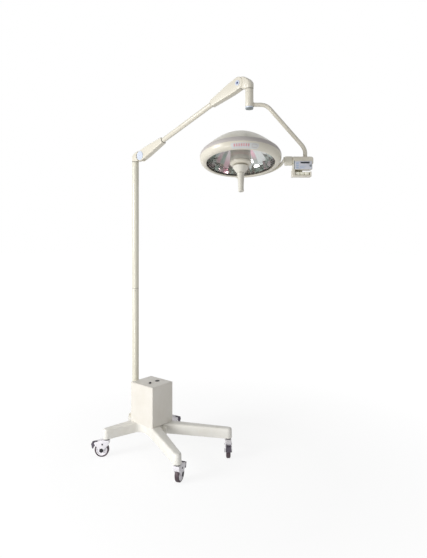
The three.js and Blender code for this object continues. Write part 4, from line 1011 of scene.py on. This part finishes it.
for name, where, radius, hollow, node_name in (
    ("lower", ARM, 33.0, 24.0, "lower_hinge_pin"), ("upper", ARM_BACK, 17.0, 9.5, "upper_hinge_pin"),
):
    piece(name + "_hinge_caps", mirrored(hinge_cap(radius, hollow)), across(where), PALE_BLUE, "arm",
          replaces=[node_name], slot="hinge_blue")
    piece(name + "_hinge_bolt", [bead(5.5, -FLANK, FLANK, 0.4, 40)], across(where), STEEL, "arm",
          slot="steel")


def plugs(name, radius, height, edge, where, material):
    """A plug in the middle of each cap."""
    top = FLANK + height
    profile = soften([(0, FLANK + 1), (radius, FLANK + 1), (radius, top), (0, top)], [0, 0.3, edge, 0],
                     4, False)
    piece(name, mirrored(profile), across(where), material, "arm")


plugs("upper_hinge_plugs", 7.2, 2.4, 0.7, ARM_BACK, DEEP_BLUE)
plugs("lower_hinge_plugs", 3.4, 2.1, 0.5, ARM, PRINT)
print("hinge caps on bolts", round(2 * FLANK, 1), "mm long")

# %% [markdown]
# ## The hub and the yoke tube
# The hub is a short tube that turns under the upper elbow, with a pale band and a slate cap
# at its foot. The yoke tube leaves it level, slopes down past the head and stands upright in
# the control box: a circle carried along a path of straight runs and two bends.

# %% Hub and tube
HUB_LENGTH, YOKE_R, YOKE_EXIT, YOKE_REACH = 126.0, 12.5, 98.0, 342.0
DROP = float(HUB[2] - GIMBAL[2])
hub_profile = [(22, -75), (22, -HUB_LENGTH + 16), (POLE_R, -HUB_LENGTH + 16), (POLE_R, -2.2),
               (15.5, -2.2), (15.5, -75)]
piece("hub_sleeve", [turned(soften(hub_profile[::-1], [0.3, 0.5, 1.2, 0.6, 0.3, 0.3]))], YOKE, ENAMEL,
      "yoke", replaces=["yoke_hub"], slot="arm_paint")
piece("hub_washer", [sleeve(23.8, 15.6, -2.4, -0.4, 0.4)], YOKE, RUBBER, "yoke")
band_low = -HUB_LENGTH + 8
piece("hub_band", [sleeve(POLE_R, 18, band_low, -HUB_LENGTH + 15.7, 0.6)], YOKE, PALE_BLUE, "yoke",
      slot="hinge_blue")
foot_cap = [(0, -HUB_LENGTH), (POLE_R - 1.5, -HUB_LENGTH), (POLE_R, band_low - 0.3),
            (17.5, band_low - 0.3), (17.5, -HUB_LENGTH + 23), (0, -HUB_LENGTH + 23)]
piece("hub_foot_cap", [turned(soften(foot_cap, [0, 2.5, 0.6, 0.3, 0.5, 0], 5, loop=False))], YOKE,
      SLATE, "yoke", replaces=["hub_cap"], slot="dark_plastic")
hub_screws = [outwards(screw_head(3), math.degrees(math.atan2(-REACH[0], REACH[1])) + offset,
                       POLE_R - 0.3, -22)
              for offset in (-40, 140)]
piece("hub_screws", hub_screws, (YOKE[0], np.eye(3)), STEEL, "yoke", slot="steel")


def yoke_path():
    """Level, a bend, a slope, a bend, and upright. Each bend is a quadratic curve."""
    level = -YOKE_EXIT
    first, second = np.array([104, 0, level]), np.array([YOKE_REACH, 0, level - 270])
    slope, bend = unit(second - first), 38
    top = curve3(first - (bend, 0, 0), first, first + bend * slope, 16)
    low = curve3(second - bend * slope, second, second - (0, 0, 0.7 * bend), 16)
    return np.vstack([[(POLE_R - 6, 0, level)], top, low, [(YOKE_REACH, 0, 16 - DROP)]])


piece("yoke_bent_tube", [pipe(yoke_path(), YOKE_R, 48)], YOKE, ENAMEL, "yoke", replaces=["yoke_tube"],
      slot="cream_paint")
weld = turned(soften([(9, -2), (16.5, -2), (13.2, 3.5), (9, 3.5)], [0.3, 1.5, 1.2, 0.3]))
piece("tube_collars", [shifted(weld, (POLE_R + 1, 0, -YOKE_EXIT), LIE_X),
                       shifted(sleeve(15.5, 12.2, 15.2 - DROP, 21 - DROP, 1.5), (YOKE_REACH, 0, 0))],
      YOKE, ENAMEL, "yoke", slot="cream_paint")
print("yoke path", len(yoke_path()), "points")

# %% [markdown]
# ## The control box
# A beam with a round end lies over a deeper housing. A pale membrane panel covers its front,
# with a smoked display, printed key fields and a knob. Under it hangs a small tray with
# three keys. All are slabs whose outlines are drawn from the front.

# %% Control box and panel
BOX_U, BOX_END, FRONT, BACK = 263.0, 385.0, -38.0, 32.0
BEAM_TOP, BEAM_LOW, HOUSING_LOW = 15.0, -28.0, -64.0
control_outline = soften(
    [(BOX_U + 3, HOUSING_LOW), (BOX_END - 6, HOUSING_LOW), (BOX_END - 6, BEAM_LOW), (BOX_END, BEAM_LOW),
     (BOX_END, BEAM_TOP), (BOX_U, BEAM_TOP), (BOX_U, BEAM_LOW), (BOX_U + 3, BEAM_LOW)],
    [3, 5, 1, 7, 14, 2, 1, 0.5], 6,
)
piece("control_box_shell", [slab(control_outline, rims(-BACK, -FRONT, 4, 3, 5))], across(CONTROL),
      ENAMEL, "yoke", replaces=["control_box"], slot="arm_paint")
shell_seam = inset(control_outline, -0.15)
piece("control_box_seam", [slab(shell_seam, [(0.8, 13.4), (0, 13.6), (0, 14.4), (0.8, 14.6)])],
      across(CONTROL), RUBBER, "yoke")
panel_outline = oblong(BOX_U + 9, -63, BOX_END - 9, -13, 3)
piece("control_panel_plate", [slab(panel_outline, rims(38.3, 41.3, 0.3, 0.9, 3))], across(CONTROL),
      PANEL, "yoke", replaces=["control_panel"], slot="panel_blue")
# Painted shade: the slate strip left of the panel stands for the shaded side face of the panel's left
# edge.
painted_shade_strip = oblong(BOX_U + 4, -60, BOX_U + 8.4, -10, 1)
piece("panel_edge_painted_shade", [slab(painted_shade_strip, rims(37.6, 39.6, 0.2, 0.6, 3))], across(CONTROL), SLATE,
      "yoke")
window = oblong(306.3, -27.7, 360.7, -17.3, 1.2)
piece("display_glass", [slab(window, rims(36, 41.9, 0.2, 0.5, 3))], across(CONTROL), DISPLAY, "yoke",
      replaces=["display_window"], slot="black_plastic")
fields = [slab(oblong(x, z, x + w, z + h, 1.2), [(0, 41.2), (0.15, 41.45)])
          for x, z, w, h in ((279, -34, 16, 8), (279, -46, 16, 8), (279, -58, 16, 8), (301, -46, 40, 3),
                             (301, -52, 28, 2.4), (301, -57, 34, 2.4), (279, -24, 20, 3))]
piece("panel_print_fields", fields, across(CONTROL), PRINT, "yoke")
knob_at = moved(CONTROL, (365, FRONT - 5.5, -42))
knob_profile = [(0, -0.2), (5.5, -0.2), (5.5, 3.2), (4.2, 4.9), (0, 4.4)]
knob = turned(soften(knob_profile, [0, 0.4, 1, 0.9, 0], 4, loop=False), 48)
stalk = bead(2.5, -9, 0.5, 0.2, 24)
piece("panel_knob", [shifted(knob, turn=LIE_Y), shifted(stalk, turn=LIE_Y)], knob_at, SLATE, "button",
      replaces=["panel_button"], slot="dark_plastic")
back_screws = [shifted(screw_head(2.6), (x, BACK - 0.9, z), FACE_Y)
               for x in (BOX_U + 14, BOX_END - 20) for z in (8, -56)]
piece("control_box_screws", back_screws, CONTROL, STEEL, "yoke", slot="steel")
print("control box", BOX_END - BOX_U, "mm long")

# %% [markdown]
# The tray is one channel with an upturned end, hung under the housing, and its three keys
# slide on stalks in the bores of its back wall. The channel is a slab whose outline is the
# whole hook, because a real one is moulded in one piece.

# %% Key tray and keys
TRAY_X0, TRAY_X1, TRAY_LOW, TRAY_FRONT, TRAY_BACK = 257.0, 374.0, -108.0, -36.0, 10.0
TRAY_TOP, KEY_PITCH, KEY_WIDTH = HOUSING_LOW - 0.3, 28.0, 26.0
tray_outline = soften(
    [(TRAY_X0, TRAY_LOW), (TRAY_X1, TRAY_LOW), (TRAY_X1, TRAY_LOW + 33), (TRAY_X1 - 9, TRAY_LOW + 33),
     (TRAY_X1 - 9, TRAY_LOW + 11), (TRAY_X0 + 18, TRAY_LOW + 11), (TRAY_X0 + 18, TRAY_TOP),
     (TRAY_X0, TRAY_TOP)],
    [4, 3, 2.5, 2.5, 1.5, 2, 0.5, 2], 5,
)
channel = slab(tray_outline, rims(-TRAY_BACK, -TRAY_FRONT, 1.5, 1.5, 3))
plate = rims(-TRAY_BACK + 0.6, -2.1, 0.6, 0.6, 2)
back_wall = slab(oblong(TRAY_X0 + 5, TRAY_LOW + 4, TRAY_X1 - 2, TRAY_LOW + 31, 1.5), plate)
riser = slab(oblong(TRAY_X0 + 16, TRAY_LOW + 28, TRAY_X0 + 68, TRAY_TOP, 1.5), plate)
bores = [shifted(bead(3.5, -30, 30, 0.1, 32), (TRAY_X0 + 34 + KEY_PITCH * i, 0, TRAY_LOW + 22), LIE_Y)
         for i in range(3)]
piece("key_tray_channel", [channel], across(CONTROL), ENAMEL, "yoke", replaces=["key_tray"],
      slot="arm_paint")
piece("key_tray_wall", [back_wall], across(CONTROL), BROWN, "yoke", slot="arm_paint",
      cuts=[("bores", bores, CONTROL)])
piece("key_tray_riser", [riser], across(CONTROL), BROWN, "yoke", slot="arm_paint")
for i, name in enumerate(("dim", "bright", "power")):
    x = TRAY_X0 + 21 + KEY_PITCH * i
    face = oblong(x, TRAY_LOW + 13, x + KEY_WIDTH, TRAY_LOW + 31, 3)
    cap = slab(face, rims(2, 30, 0.6, 2, 4))
    stem = shifted(bead(3, -2.5, 9, 0.2, 24), (x + 13, 0, TRAY_LOW + 22), FACE_Y)
    lens = slab(oblong(x + 9, TRAY_LOW + 20.5, x + 17, TRAY_LOW + 23.5, 1.2), [(0, 29.6), (0.2, 30.25)])
    body = "key_" + name
    piece("key_cap_" + name, [cap], across(CONTROL), KEYS, body, replaces=["key_" + name], slot="key_cap")
    piece("key_stem_" + name, [stem], CONTROL, KEYS, body, slot="key_cap")
    piece("key_line_" + name, [lens], across(CONTROL), LABEL, body)
print("three keys,", KEY_WIDTH, "mm wide")

# %% [markdown]
# ## The gimbal
# A block on the control box's shaft carries a flat bar that sweeps a quarter circle round the
# head to a pivot behind it. The bar is a rounded section carried round the lamp's axis.

# %% Gimbal block and half yoke
BAR_R, BAR_HALF, BAR_THICK, HEAD_R = 266.0, 13.0, 8.0, 250.0
BLOCK_NEAR, BLOCK_FAR = BAR_R + BAR_THICK / 2 + 0.3, BOX_U + 54 - 0.3
piece("gimbal_head_block", [slab(oblong(BLOCK_NEAR, -30, BLOCK_FAR, 15, 5), rims(-22, 22, 3, 3))],
      across(HEAD), SHELL, "gimbal", replaces=["gimbal_block"], slot="arm_paint")
piece("gimbal_shaft", [shifted(bead(8, BLOCK_FAR - 4, BLOCK_FAR + 42, 1), turn=LIE_X)], HEAD, STEEL,
      "gimbal", slot="steel")


def swept_bar(start, end, steps=96):
    """A round-cornered section, 8 by 26 mm, carried round Z between two angles."""
    section = oblong(BAR_R - BAR_THICK / 2, -BAR_HALF, BAR_R + BAR_THICK / 2, BAR_HALF, 2.4, 5)
    a = np.linspace(start, end, steps)[:, None]
    r, z = section[None, :, 0], section[None, :, 1]
    return skin(np.stack([r * np.cos(a), r * np.sin(a), z + 0 * a], -1))


piece("half_yoke_bar", [swept_bar(-0.06, math.pi / 2 + 0.05)], HEAD, SHELL, "gimbal",
      replaces=["half_yoke"], slot="arm_paint")
boss = turned(soften([(0, BAR_R - 4), (17, BAR_R - 4), (17, BAR_R + 9), (14, BAR_R + 11.8),
                      (0, BAR_R + 11.8)],
                     [0, 1, 2, 2, 0], 4, loop=False), 72)
pivot_pin = bead(6, HEAD_R - 14, BAR_R, 0.6, 40)
piece("half_yoke_boss", [shifted(boss, turn=FACE_Y)], HEAD, SHELL, "gimbal", slot="arm_paint")
piece("half_yoke_pin", [shifted(pivot_pin, turn=FACE_Y)], HEAD, STEEL, "gimbal", slot="steel")
print("half yoke reaches", BAR_R + 12, "mm behind the lamp's axis")

# %% [markdown]
# ## The lamp head
# A spun dome, a grey band and a bezel make the housing. Each is a turned profile: the dome's
# flank is nearly straight and its crown is round, and the bezel curls in to the mouth. The
# inside faces are drawn too, because the housing is a real shell.

# %% Housing of the head
RIM_Z, BAND_TOP, DOME_TOP, BEZEL_LOW, MOUTH_R = 11.0, 41.0, 164.0, -28.0, 209.0
HEAD_STEPS, WALL = 144, 2.8
crown = through([(238, BAND_TOP + 0.3), (222, BAND_TOP + 16), (190, BAND_TOP + 45), (146, BAND_TOP + 80),
                 (96, BAND_TOP + 108), (48, DOME_TOP - 4), (0, DOME_TOP)], 14)
crown[-1] = (0, DOME_TOP)
go = np.gradient(crown, axis=0)
go = go / np.linalg.norm(go, axis=1)[:, None]
lining = crown + WALL * np.stack([-go[:, 1], go[:, 0]], 1)
lining[:, 0] = np.maximum(lining[:, 0], 0)
lining[0, 1], lining[-1, 0] = crown[0, 1], 0
dome_profile = np.vstack([lining[::-1], [(237, BAND_TOP + 0.3)], crown])
piece("head_dome", [turned(without_repeats(dome_profile, False), HEAD_STEPS)], HEAD, SHELL, "head",
      replaces=["dome_shell"], slot="arm_paint")
band_profile = [(246, RIM_Z + 0.4), (HEAD_R, RIM_Z + 0.4), (HEAD_R, RIM_Z + 8), (HEAD_R - 3, RIM_Z + 18),
                (HEAD_R - 10, BAND_TOP - 0.2), (HEAD_R - 26, BAND_TOP - 0.2),
                (HEAD_R - 26, BAND_TOP - 3), (HEAD_R - 14, BAND_TOP - 3)]
piece("head_band", [turned(soften(band_profile, [0.3, 0.8, 8, 14, 2, 0.5, 0.5, 3], 5), HEAD_STEPS)],
      HEAD, BAND, "head", replaces=["rim_band"], slot="band_grey")
lip = curve3((HEAD_R, RIM_Z - 0.8), (HEAD_R - 3, BEZEL_LOW + 6), (222, BEZEL_LOW), 20)
bezel_in = [(MOUTH_R + 3, BEZEL_LOW), (MOUTH_R, BEZEL_LOW + 3), (MOUTH_R, BEZEL_LOW + 6),
            (MOUTH_R + 7, BEZEL_LOW + 6),
            (MOUTH_R + 7, BEZEL_LOW + 9), (HEAD_R - 24, BEZEL_LOW + 9), (HEAD_R - 5, RIM_Z - 8),
            (HEAD_R - 5, RIM_Z)]
bezel_profile = np.vstack([lip, soften(bezel_in, [2.4, 1.5, 0.4, 0.4, 0.4, 0.4, 3, 0.5], 4, loop=False),
                           [(HEAD_R - 0.6, RIM_Z)]])
lug_hole = shifted(bead(6.4, HEAD_R - 18, HEAD_R + 20, 0.1, 48), turn=FACE_Y)
piece("head_bezel", [turned(bezel_profile, HEAD_STEPS)], HEAD, ENAMEL, "head", replaces=["bezel_ring"],
      slot="arm_paint", cuts=[("lug_hole", [lug_hole], HEAD)])
lug = turned(soften([(6.4, HEAD_R - 23), (15, HEAD_R - 23), (15, HEAD_R + 5.8), (6.4, HEAD_R + 5.8)],
                    [0.3, 1, 1.5, 0.5]), 72)
piece("pivot_lug", [shifted(lug, turn=FACE_Y)], HEAD, ENAMEL, "head", slot="arm_paint",
      common=[("below_band", [slab(oblong(-40, 200, 40, 300, 1), [(0, -40), (0, RIM_Z)])], HEAD)])
print("head", 2 * HEAD_R, "mm across")

# %% [markdown]
# The reflector is one piece of spun and pressed aluminium with 36 flat facets that run from
# the mouth to the neck and narrow on the way. A turned profile with only 36 steps has just
# those facets, and the edges between them are kept sharp.

# %% Reflector, lens ring and lamp
a = np.linspace(0.05, 1.24, 90)
bowl = np.stack([206 * np.cos(a), 170 * np.sin(a) - 20], 1)
bowl_top = bowl[-1, 1]
bowl_profile = np.vstack([bowl, [(59, bowl_top + 1), (59, bowl_top + 3.5)], (bowl + (2.5, 1))[::-1]])
piece("faceted_mirror", [turned(bowl_profile, FACETS)], HEAD, MIRROR, "head", replaces=["reflector"],
      slot="mirror", sharp=math.radians(1.2))
lens_low = BEZEL_LOW + 9.3
piece("lens_ring", [turned(soften([(67, lens_low), (MOUTH_R + 6, lens_low), (MOUTH_R + 6, lens_low + 3.2),
                                   (67, lens_low + 3.2)], 0.5), HEAD_STEPS)], HEAD, LENS, "head",
      replaces=["cover_glass"], slot="clear_glass")
dish_profile = [(14.5, -36), (30, -38), (52, -36), (63, -29), (66, -22), (66, -16.5), (60, -14),
                (20, -14), (20, -4), (14.5, -4)]
piece("lamp_lower_dish", [turned(soften(dish_profile, [0.6, 12, 10, 8, 3, 2, 2, 0.5, 0.8, 0.4], 5))],
      HEAD, ENAMEL, "head", replaces=["lamp_dish"], slot="arm_paint")
piece("heat_filter_sleeve", [sleeve(62, 59.4, -13.6, 141, 0.8)], HEAD, FILTER, "head",
      replaces=["heat_filter"], slot="filter_glass")
piece("filter_hoop", [sleeve(65, 62.3, -13.6, 12, 1.5)], HEAD, IVORY, "head", slot="arm_paint")
print("reflector depth", round(bowl_top + 20), "mm")

# %% [markdown]
# The focusing cup under the lamp carries the sterile handle, a tapered grip that pulls off to
# be boiled. Fine rings round the grip keep a gloved hand from slipping.

# %% Focusing cup and sterile handle
cup_profile = [(0, -176), (9, -176), (12, -172), (12, -86), (22, -86), (30, -78), (44, -58), (48, -50),
               (48, -46), (42, -43), (14, -41), (14, -6), (10, -6), (10, -40), (0, -40)]
piece("focusing_cup", [turned(soften(cup_profile, [0, 2, 2, 1, 3, 16, 14, 3, 1.5, 2, 1, 1, 0.5, 0.5, 0],
                                     5, loop=False))],
      HEAD, IVORY, "focus", replaces=["focus_cup"], slot="handle_plastic")
grip = through([(17.6, -196), (16.4, -186), (17, -160), (19.8, -120), (21.8, -98), (23.2, -92)], 24)
rings = np.where(np.abs(grip[:, 1] + 140) < 28, 0.22 * np.cos((grip[:, 1] + 140) * 2 * math.pi / 7), 0.0)
grip[:, 0] += rings - 0.22
head_of_grip = soften([(23.2, -90.6), (21, -87), (12.5, -86.6), (12.5, -180), (6, -190), (6, -205.8),
                       (14, -205.8), (17, -202)], [2, 1.5, 0.5, 2, 1, 1, 3, 3], 4, loop=False)
piece("sterile_grip", [turned(np.vstack([grip, head_of_grip]))], HEAD, IVORY, "handle",
      replaces=["sterile_handle"], slot="handle_plastic")
# Painted shade: a slate disc a little inside the grip's end bore stands for the shade deep in the hole.
piece("grip_end_painted_shade", [bead(5.9, -203.4, -196, 0.3, 40)], HEAD, SLATE, "handle")
print("grip", round(grip[-1, 1] - grip[0, 1]), "mm long")

# %% [markdown]
# A pale foil with rounded ends lies on the near side of the bezel. Its print is only generic:
# a row of strokes and a ringed field. Each is a small patch that follows the bezel's curve.

# %% Foil and strokes on the bezel
def on_bezel(angle, drop, lift=0.3):
    """A point on the bezel's skin: an angle round the axis, a drop below the band, a lift."""
    at = np.interp(drop, RIM_Z - 0.8 - lip[:, 1], np.arange(len(lip)))
    low, high = np.floor(at).astype(int), np.minimum(np.floor(at).astype(int) + 1, len(lip) - 1)
    rz = lip[low] + (lip[high] - lip[low]) * (at - low)[..., None]
    run = np.gradient(lip, axis=0)
    out = np.stack([-run[:, 1], run[:, 0]], 1)
    out = out / np.linalg.norm(out, axis=1)[:, None]
    rz = rz + lift * out[low]
    r = rz[..., 0]
    return np.stack([r * np.cos(angle), r * np.sin(angle), rz[..., 1]], -1)


def patch(middle, half_angle, drop, half_drop, lift, round_end=True, columns=40, rows_count=10):
    """A curved oblong on the bezel, thinner towards its ends where they are round."""
    u = np.linspace(-1, 1, columns)[:, None]
    v = np.linspace(-1, 1, rows_count)[None, :]
    end = HEAD_R * half_angle
    over = np.clip(np.abs(u) * end - (end - half_drop), 0, half_drop) / half_drop
    full = np.sqrt(np.maximum(1 - over**2, 1e-3)) if round_end else np.ones_like(u)
    angle = middle + u * half_angle + 0 * v
    depth = drop + v * half_drop * full
    top = on_bezel(angle, depth, lift)
    base = on_bezel(angle, depth, -0.2)
    ring = np.concatenate([top, base[:, ::-1]], 1)
    return skin(ring)


FOIL_TURN, FOIL_HALF, FOIL_DROP = -0.13, 0.34, 24
STROKES, STROKE_START, STROKE_PITCH, FIELD_TURN = 7, -0.38, 0.056, 0.1
to_lens = math.radians(TO_LENS) - math.atan2(REACH[1], REACH[0])
piece("bezel_foil", [patch(to_lens + FOIL_TURN, FOIL_HALF, FOIL_DROP, 13, 0.35)], HEAD, LABEL, "head")
strokes = [patch(to_lens + STROKE_START + STROKE_PITCH * i, 0.012, FOIL_DROP - 1.5, 6.5, 0.6, False, 6, 6)
           for i in range(STROKES)]
piece("bezel_foil_strokes", strokes, HEAD, PINK, "head")
field_at = to_lens + FIELD_TURN
piece("bezel_foil_field", [patch(field_at, 0.07, FOIL_DROP, 8.5, 0.6)], HEAD, BAND, "head")
piece("bezel_foil_inset", [patch(field_at, 0.06, FOIL_DROP, 6.2, 0.9)], HEAD, LABEL, "head")
print("foil", round(2 * FOIL_HALF * HEAD_R), "mm long")

# %% [markdown]
# ## Floor, light and camera
# The studio is white all round. The floor glows white far away, so it runs into the
# background with no horizon, and near the light it is partly diffuse, so it catches a soft
# shadow. It lights nothing itself: the world light is brighter from below, as over a white
# floor, and the room that mirrors see is brighter still. A broad key light stands on the left,
# so the sides that face it are almost white, and the other sides stay a warm grey. A weak
# light near the floor lifts the sides of the legs.

# %% Floor and room
FLOOR_HALF, SHADOW_NEAR, SHADOW_FAR = 40.0, 0.9, 3.2


def studio_floor():
    """Diffuse near the light and white glow far from it, by the distance from the origin."""
    material, tree, surface = shader("studio_floor")
    surface.inputs["Base Color"].default_value = (0.96, 0.96, 0.96, 1)
    surface.inputs["Roughness"].default_value = 0.9
    glow = node(tree, "Emission", Color=(1, 1, 1, 1), Strength=1.06)
    length = tree.nodes.new("ShaderNodeVectorMath")
    length.operation = "LENGTH"
    tree.links.new(tree.nodes.new("ShaderNodeTexCoord").outputs["Object"], length.inputs[0])
    share = spread(tree, length.outputs["Value"], 0.8, 1.0, SHADOW_NEAR, SHADOW_FAR)
    both = tree.nodes.new("ShaderNodeMixShader")
    tree.links.new(share, both.inputs[0])
    tree.links.new(surface.outputs[0], both.inputs[1])
    tree.links.new(glow.outputs[0], both.inputs[2])
    output = next(n for n in tree.nodes if n.type == "OUTPUT_MATERIAL")
    tree.links.new(both.outputs[0], output.inputs[0])
    return material


floor_mesh = bpy.data.meshes.new("floor")
floor_mesh.from_pydata(
    [(-FLOOR_HALF, -FLOOR_HALF, 0), (FLOOR_HALF, -FLOOR_HALF, 0), (FLOOR_HALF, FLOOR_HALF, 0),
     (-FLOOR_HALF, FLOOR_HALF, 0)], [], [(0, 1, 2, 3)],
)
floor = bpy.data.objects.new("floor", floor_mesh)
bpy.context.scene.collection.objects.link(floor)
floor_mesh.materials.append(studio_floor())
floor.visible_diffuse = False
floor.visible_glossy = False

ABOVE, BELOW, IN_MIRRORS = 0.36, 0.60, 0.85
world = bpy.data.worlds.new("white_room")
bpy.context.scene.world = world
world.use_nodes = True
room = world.node_tree
seen = room.nodes["Background"]
seen.inputs["Color"].default_value = (1, 1, 1, 1)
even = node(room, "Background", Color=(1, 1, 1, 1))
parts = node(room, "SeparateXYZ")
room.links.new(room.nodes.new("ShaderNodeTexCoord").outputs["Generated"], parts.inputs[0])
room.links.new(spread(room, parts.outputs["Z"], BELOW, ABOVE, -0.3, 0.3), even.inputs["Strength"])
paths = room.nodes.new("ShaderNodeLightPath")
mirrored_room = node(room, "Background", Color=(1, 1, 1, 1), Strength=IN_MIRRORS)
gloss = room.nodes.new("ShaderNodeMixShader")
room.links.new(paths.outputs["Is Glossy Ray"], gloss.inputs[0])
room.links.new(even.outputs[0], gloss.inputs[1])
room.links.new(mirrored_room.outputs[0], gloss.inputs[2])
choice = room.nodes.new("ShaderNodeMixShader")
room.links.new(paths.outputs["Is Camera Ray"], choice.inputs[0])
room.links.new(gloss.outputs[0], choice.inputs[1])
room.links.new(seen.outputs[0], choice.inputs[2])
room.links.new(choice.outputs[0], room.nodes["World Output"].inputs[0])


def soft_light(name, spot, aim, size, watts, colour=(1, 1, 1)):
    """A square area light that looks from a spot towards a point."""
    from mathutils import Vector

    lamp = bpy.data.lights.new(name, "AREA")
    lamp.energy, lamp.size, lamp.color = watts, size, colour
    made = bpy.data.objects.new(name, lamp)
    bpy.context.scene.collection.objects.link(made)
    made.location = spot
    made.rotation_euler = (Vector(aim) - Vector(spot)).to_track_quat("-Z", "Y").to_euler()
    return made


soft_light("key_light", (-2.1, -4.7, 2.2), (-0.3, 0, 0.7), 2.2, 172)
soft_light("low_light", (0.3, -2.8, 0.3), (-0.3, 0, 0.1), 0.9, 26)
bpy.context.scene.view_settings.view_transform = "Standard"
print("two lights, and a white room of", ABOVE, "above and", BELOW, "below")

# %% [markdown]
# The camera stands level, 1.5 m above the floor. Its sensor is shifted down a little and the
# camera is not tilted, so upright edges stay upright in the picture.

# %% Camera
camera_data = bpy.data.cameras.new("camera")
camera_data.sensor_width = 36.0
camera_data.lens = 30.9
camera_data.shift_y = -0.0729
camera = bpy.data.objects.new("camera", camera_data)
bpy.context.scene.collection.objects.link(camera)
camera.location = (2.100, -2.399, 1.525)
camera.rotation_euler = (math.radians(90), 0, math.radians(39.7))
bpy.context.scene.camera = camera
print("lens", camera_data.lens, "mm")
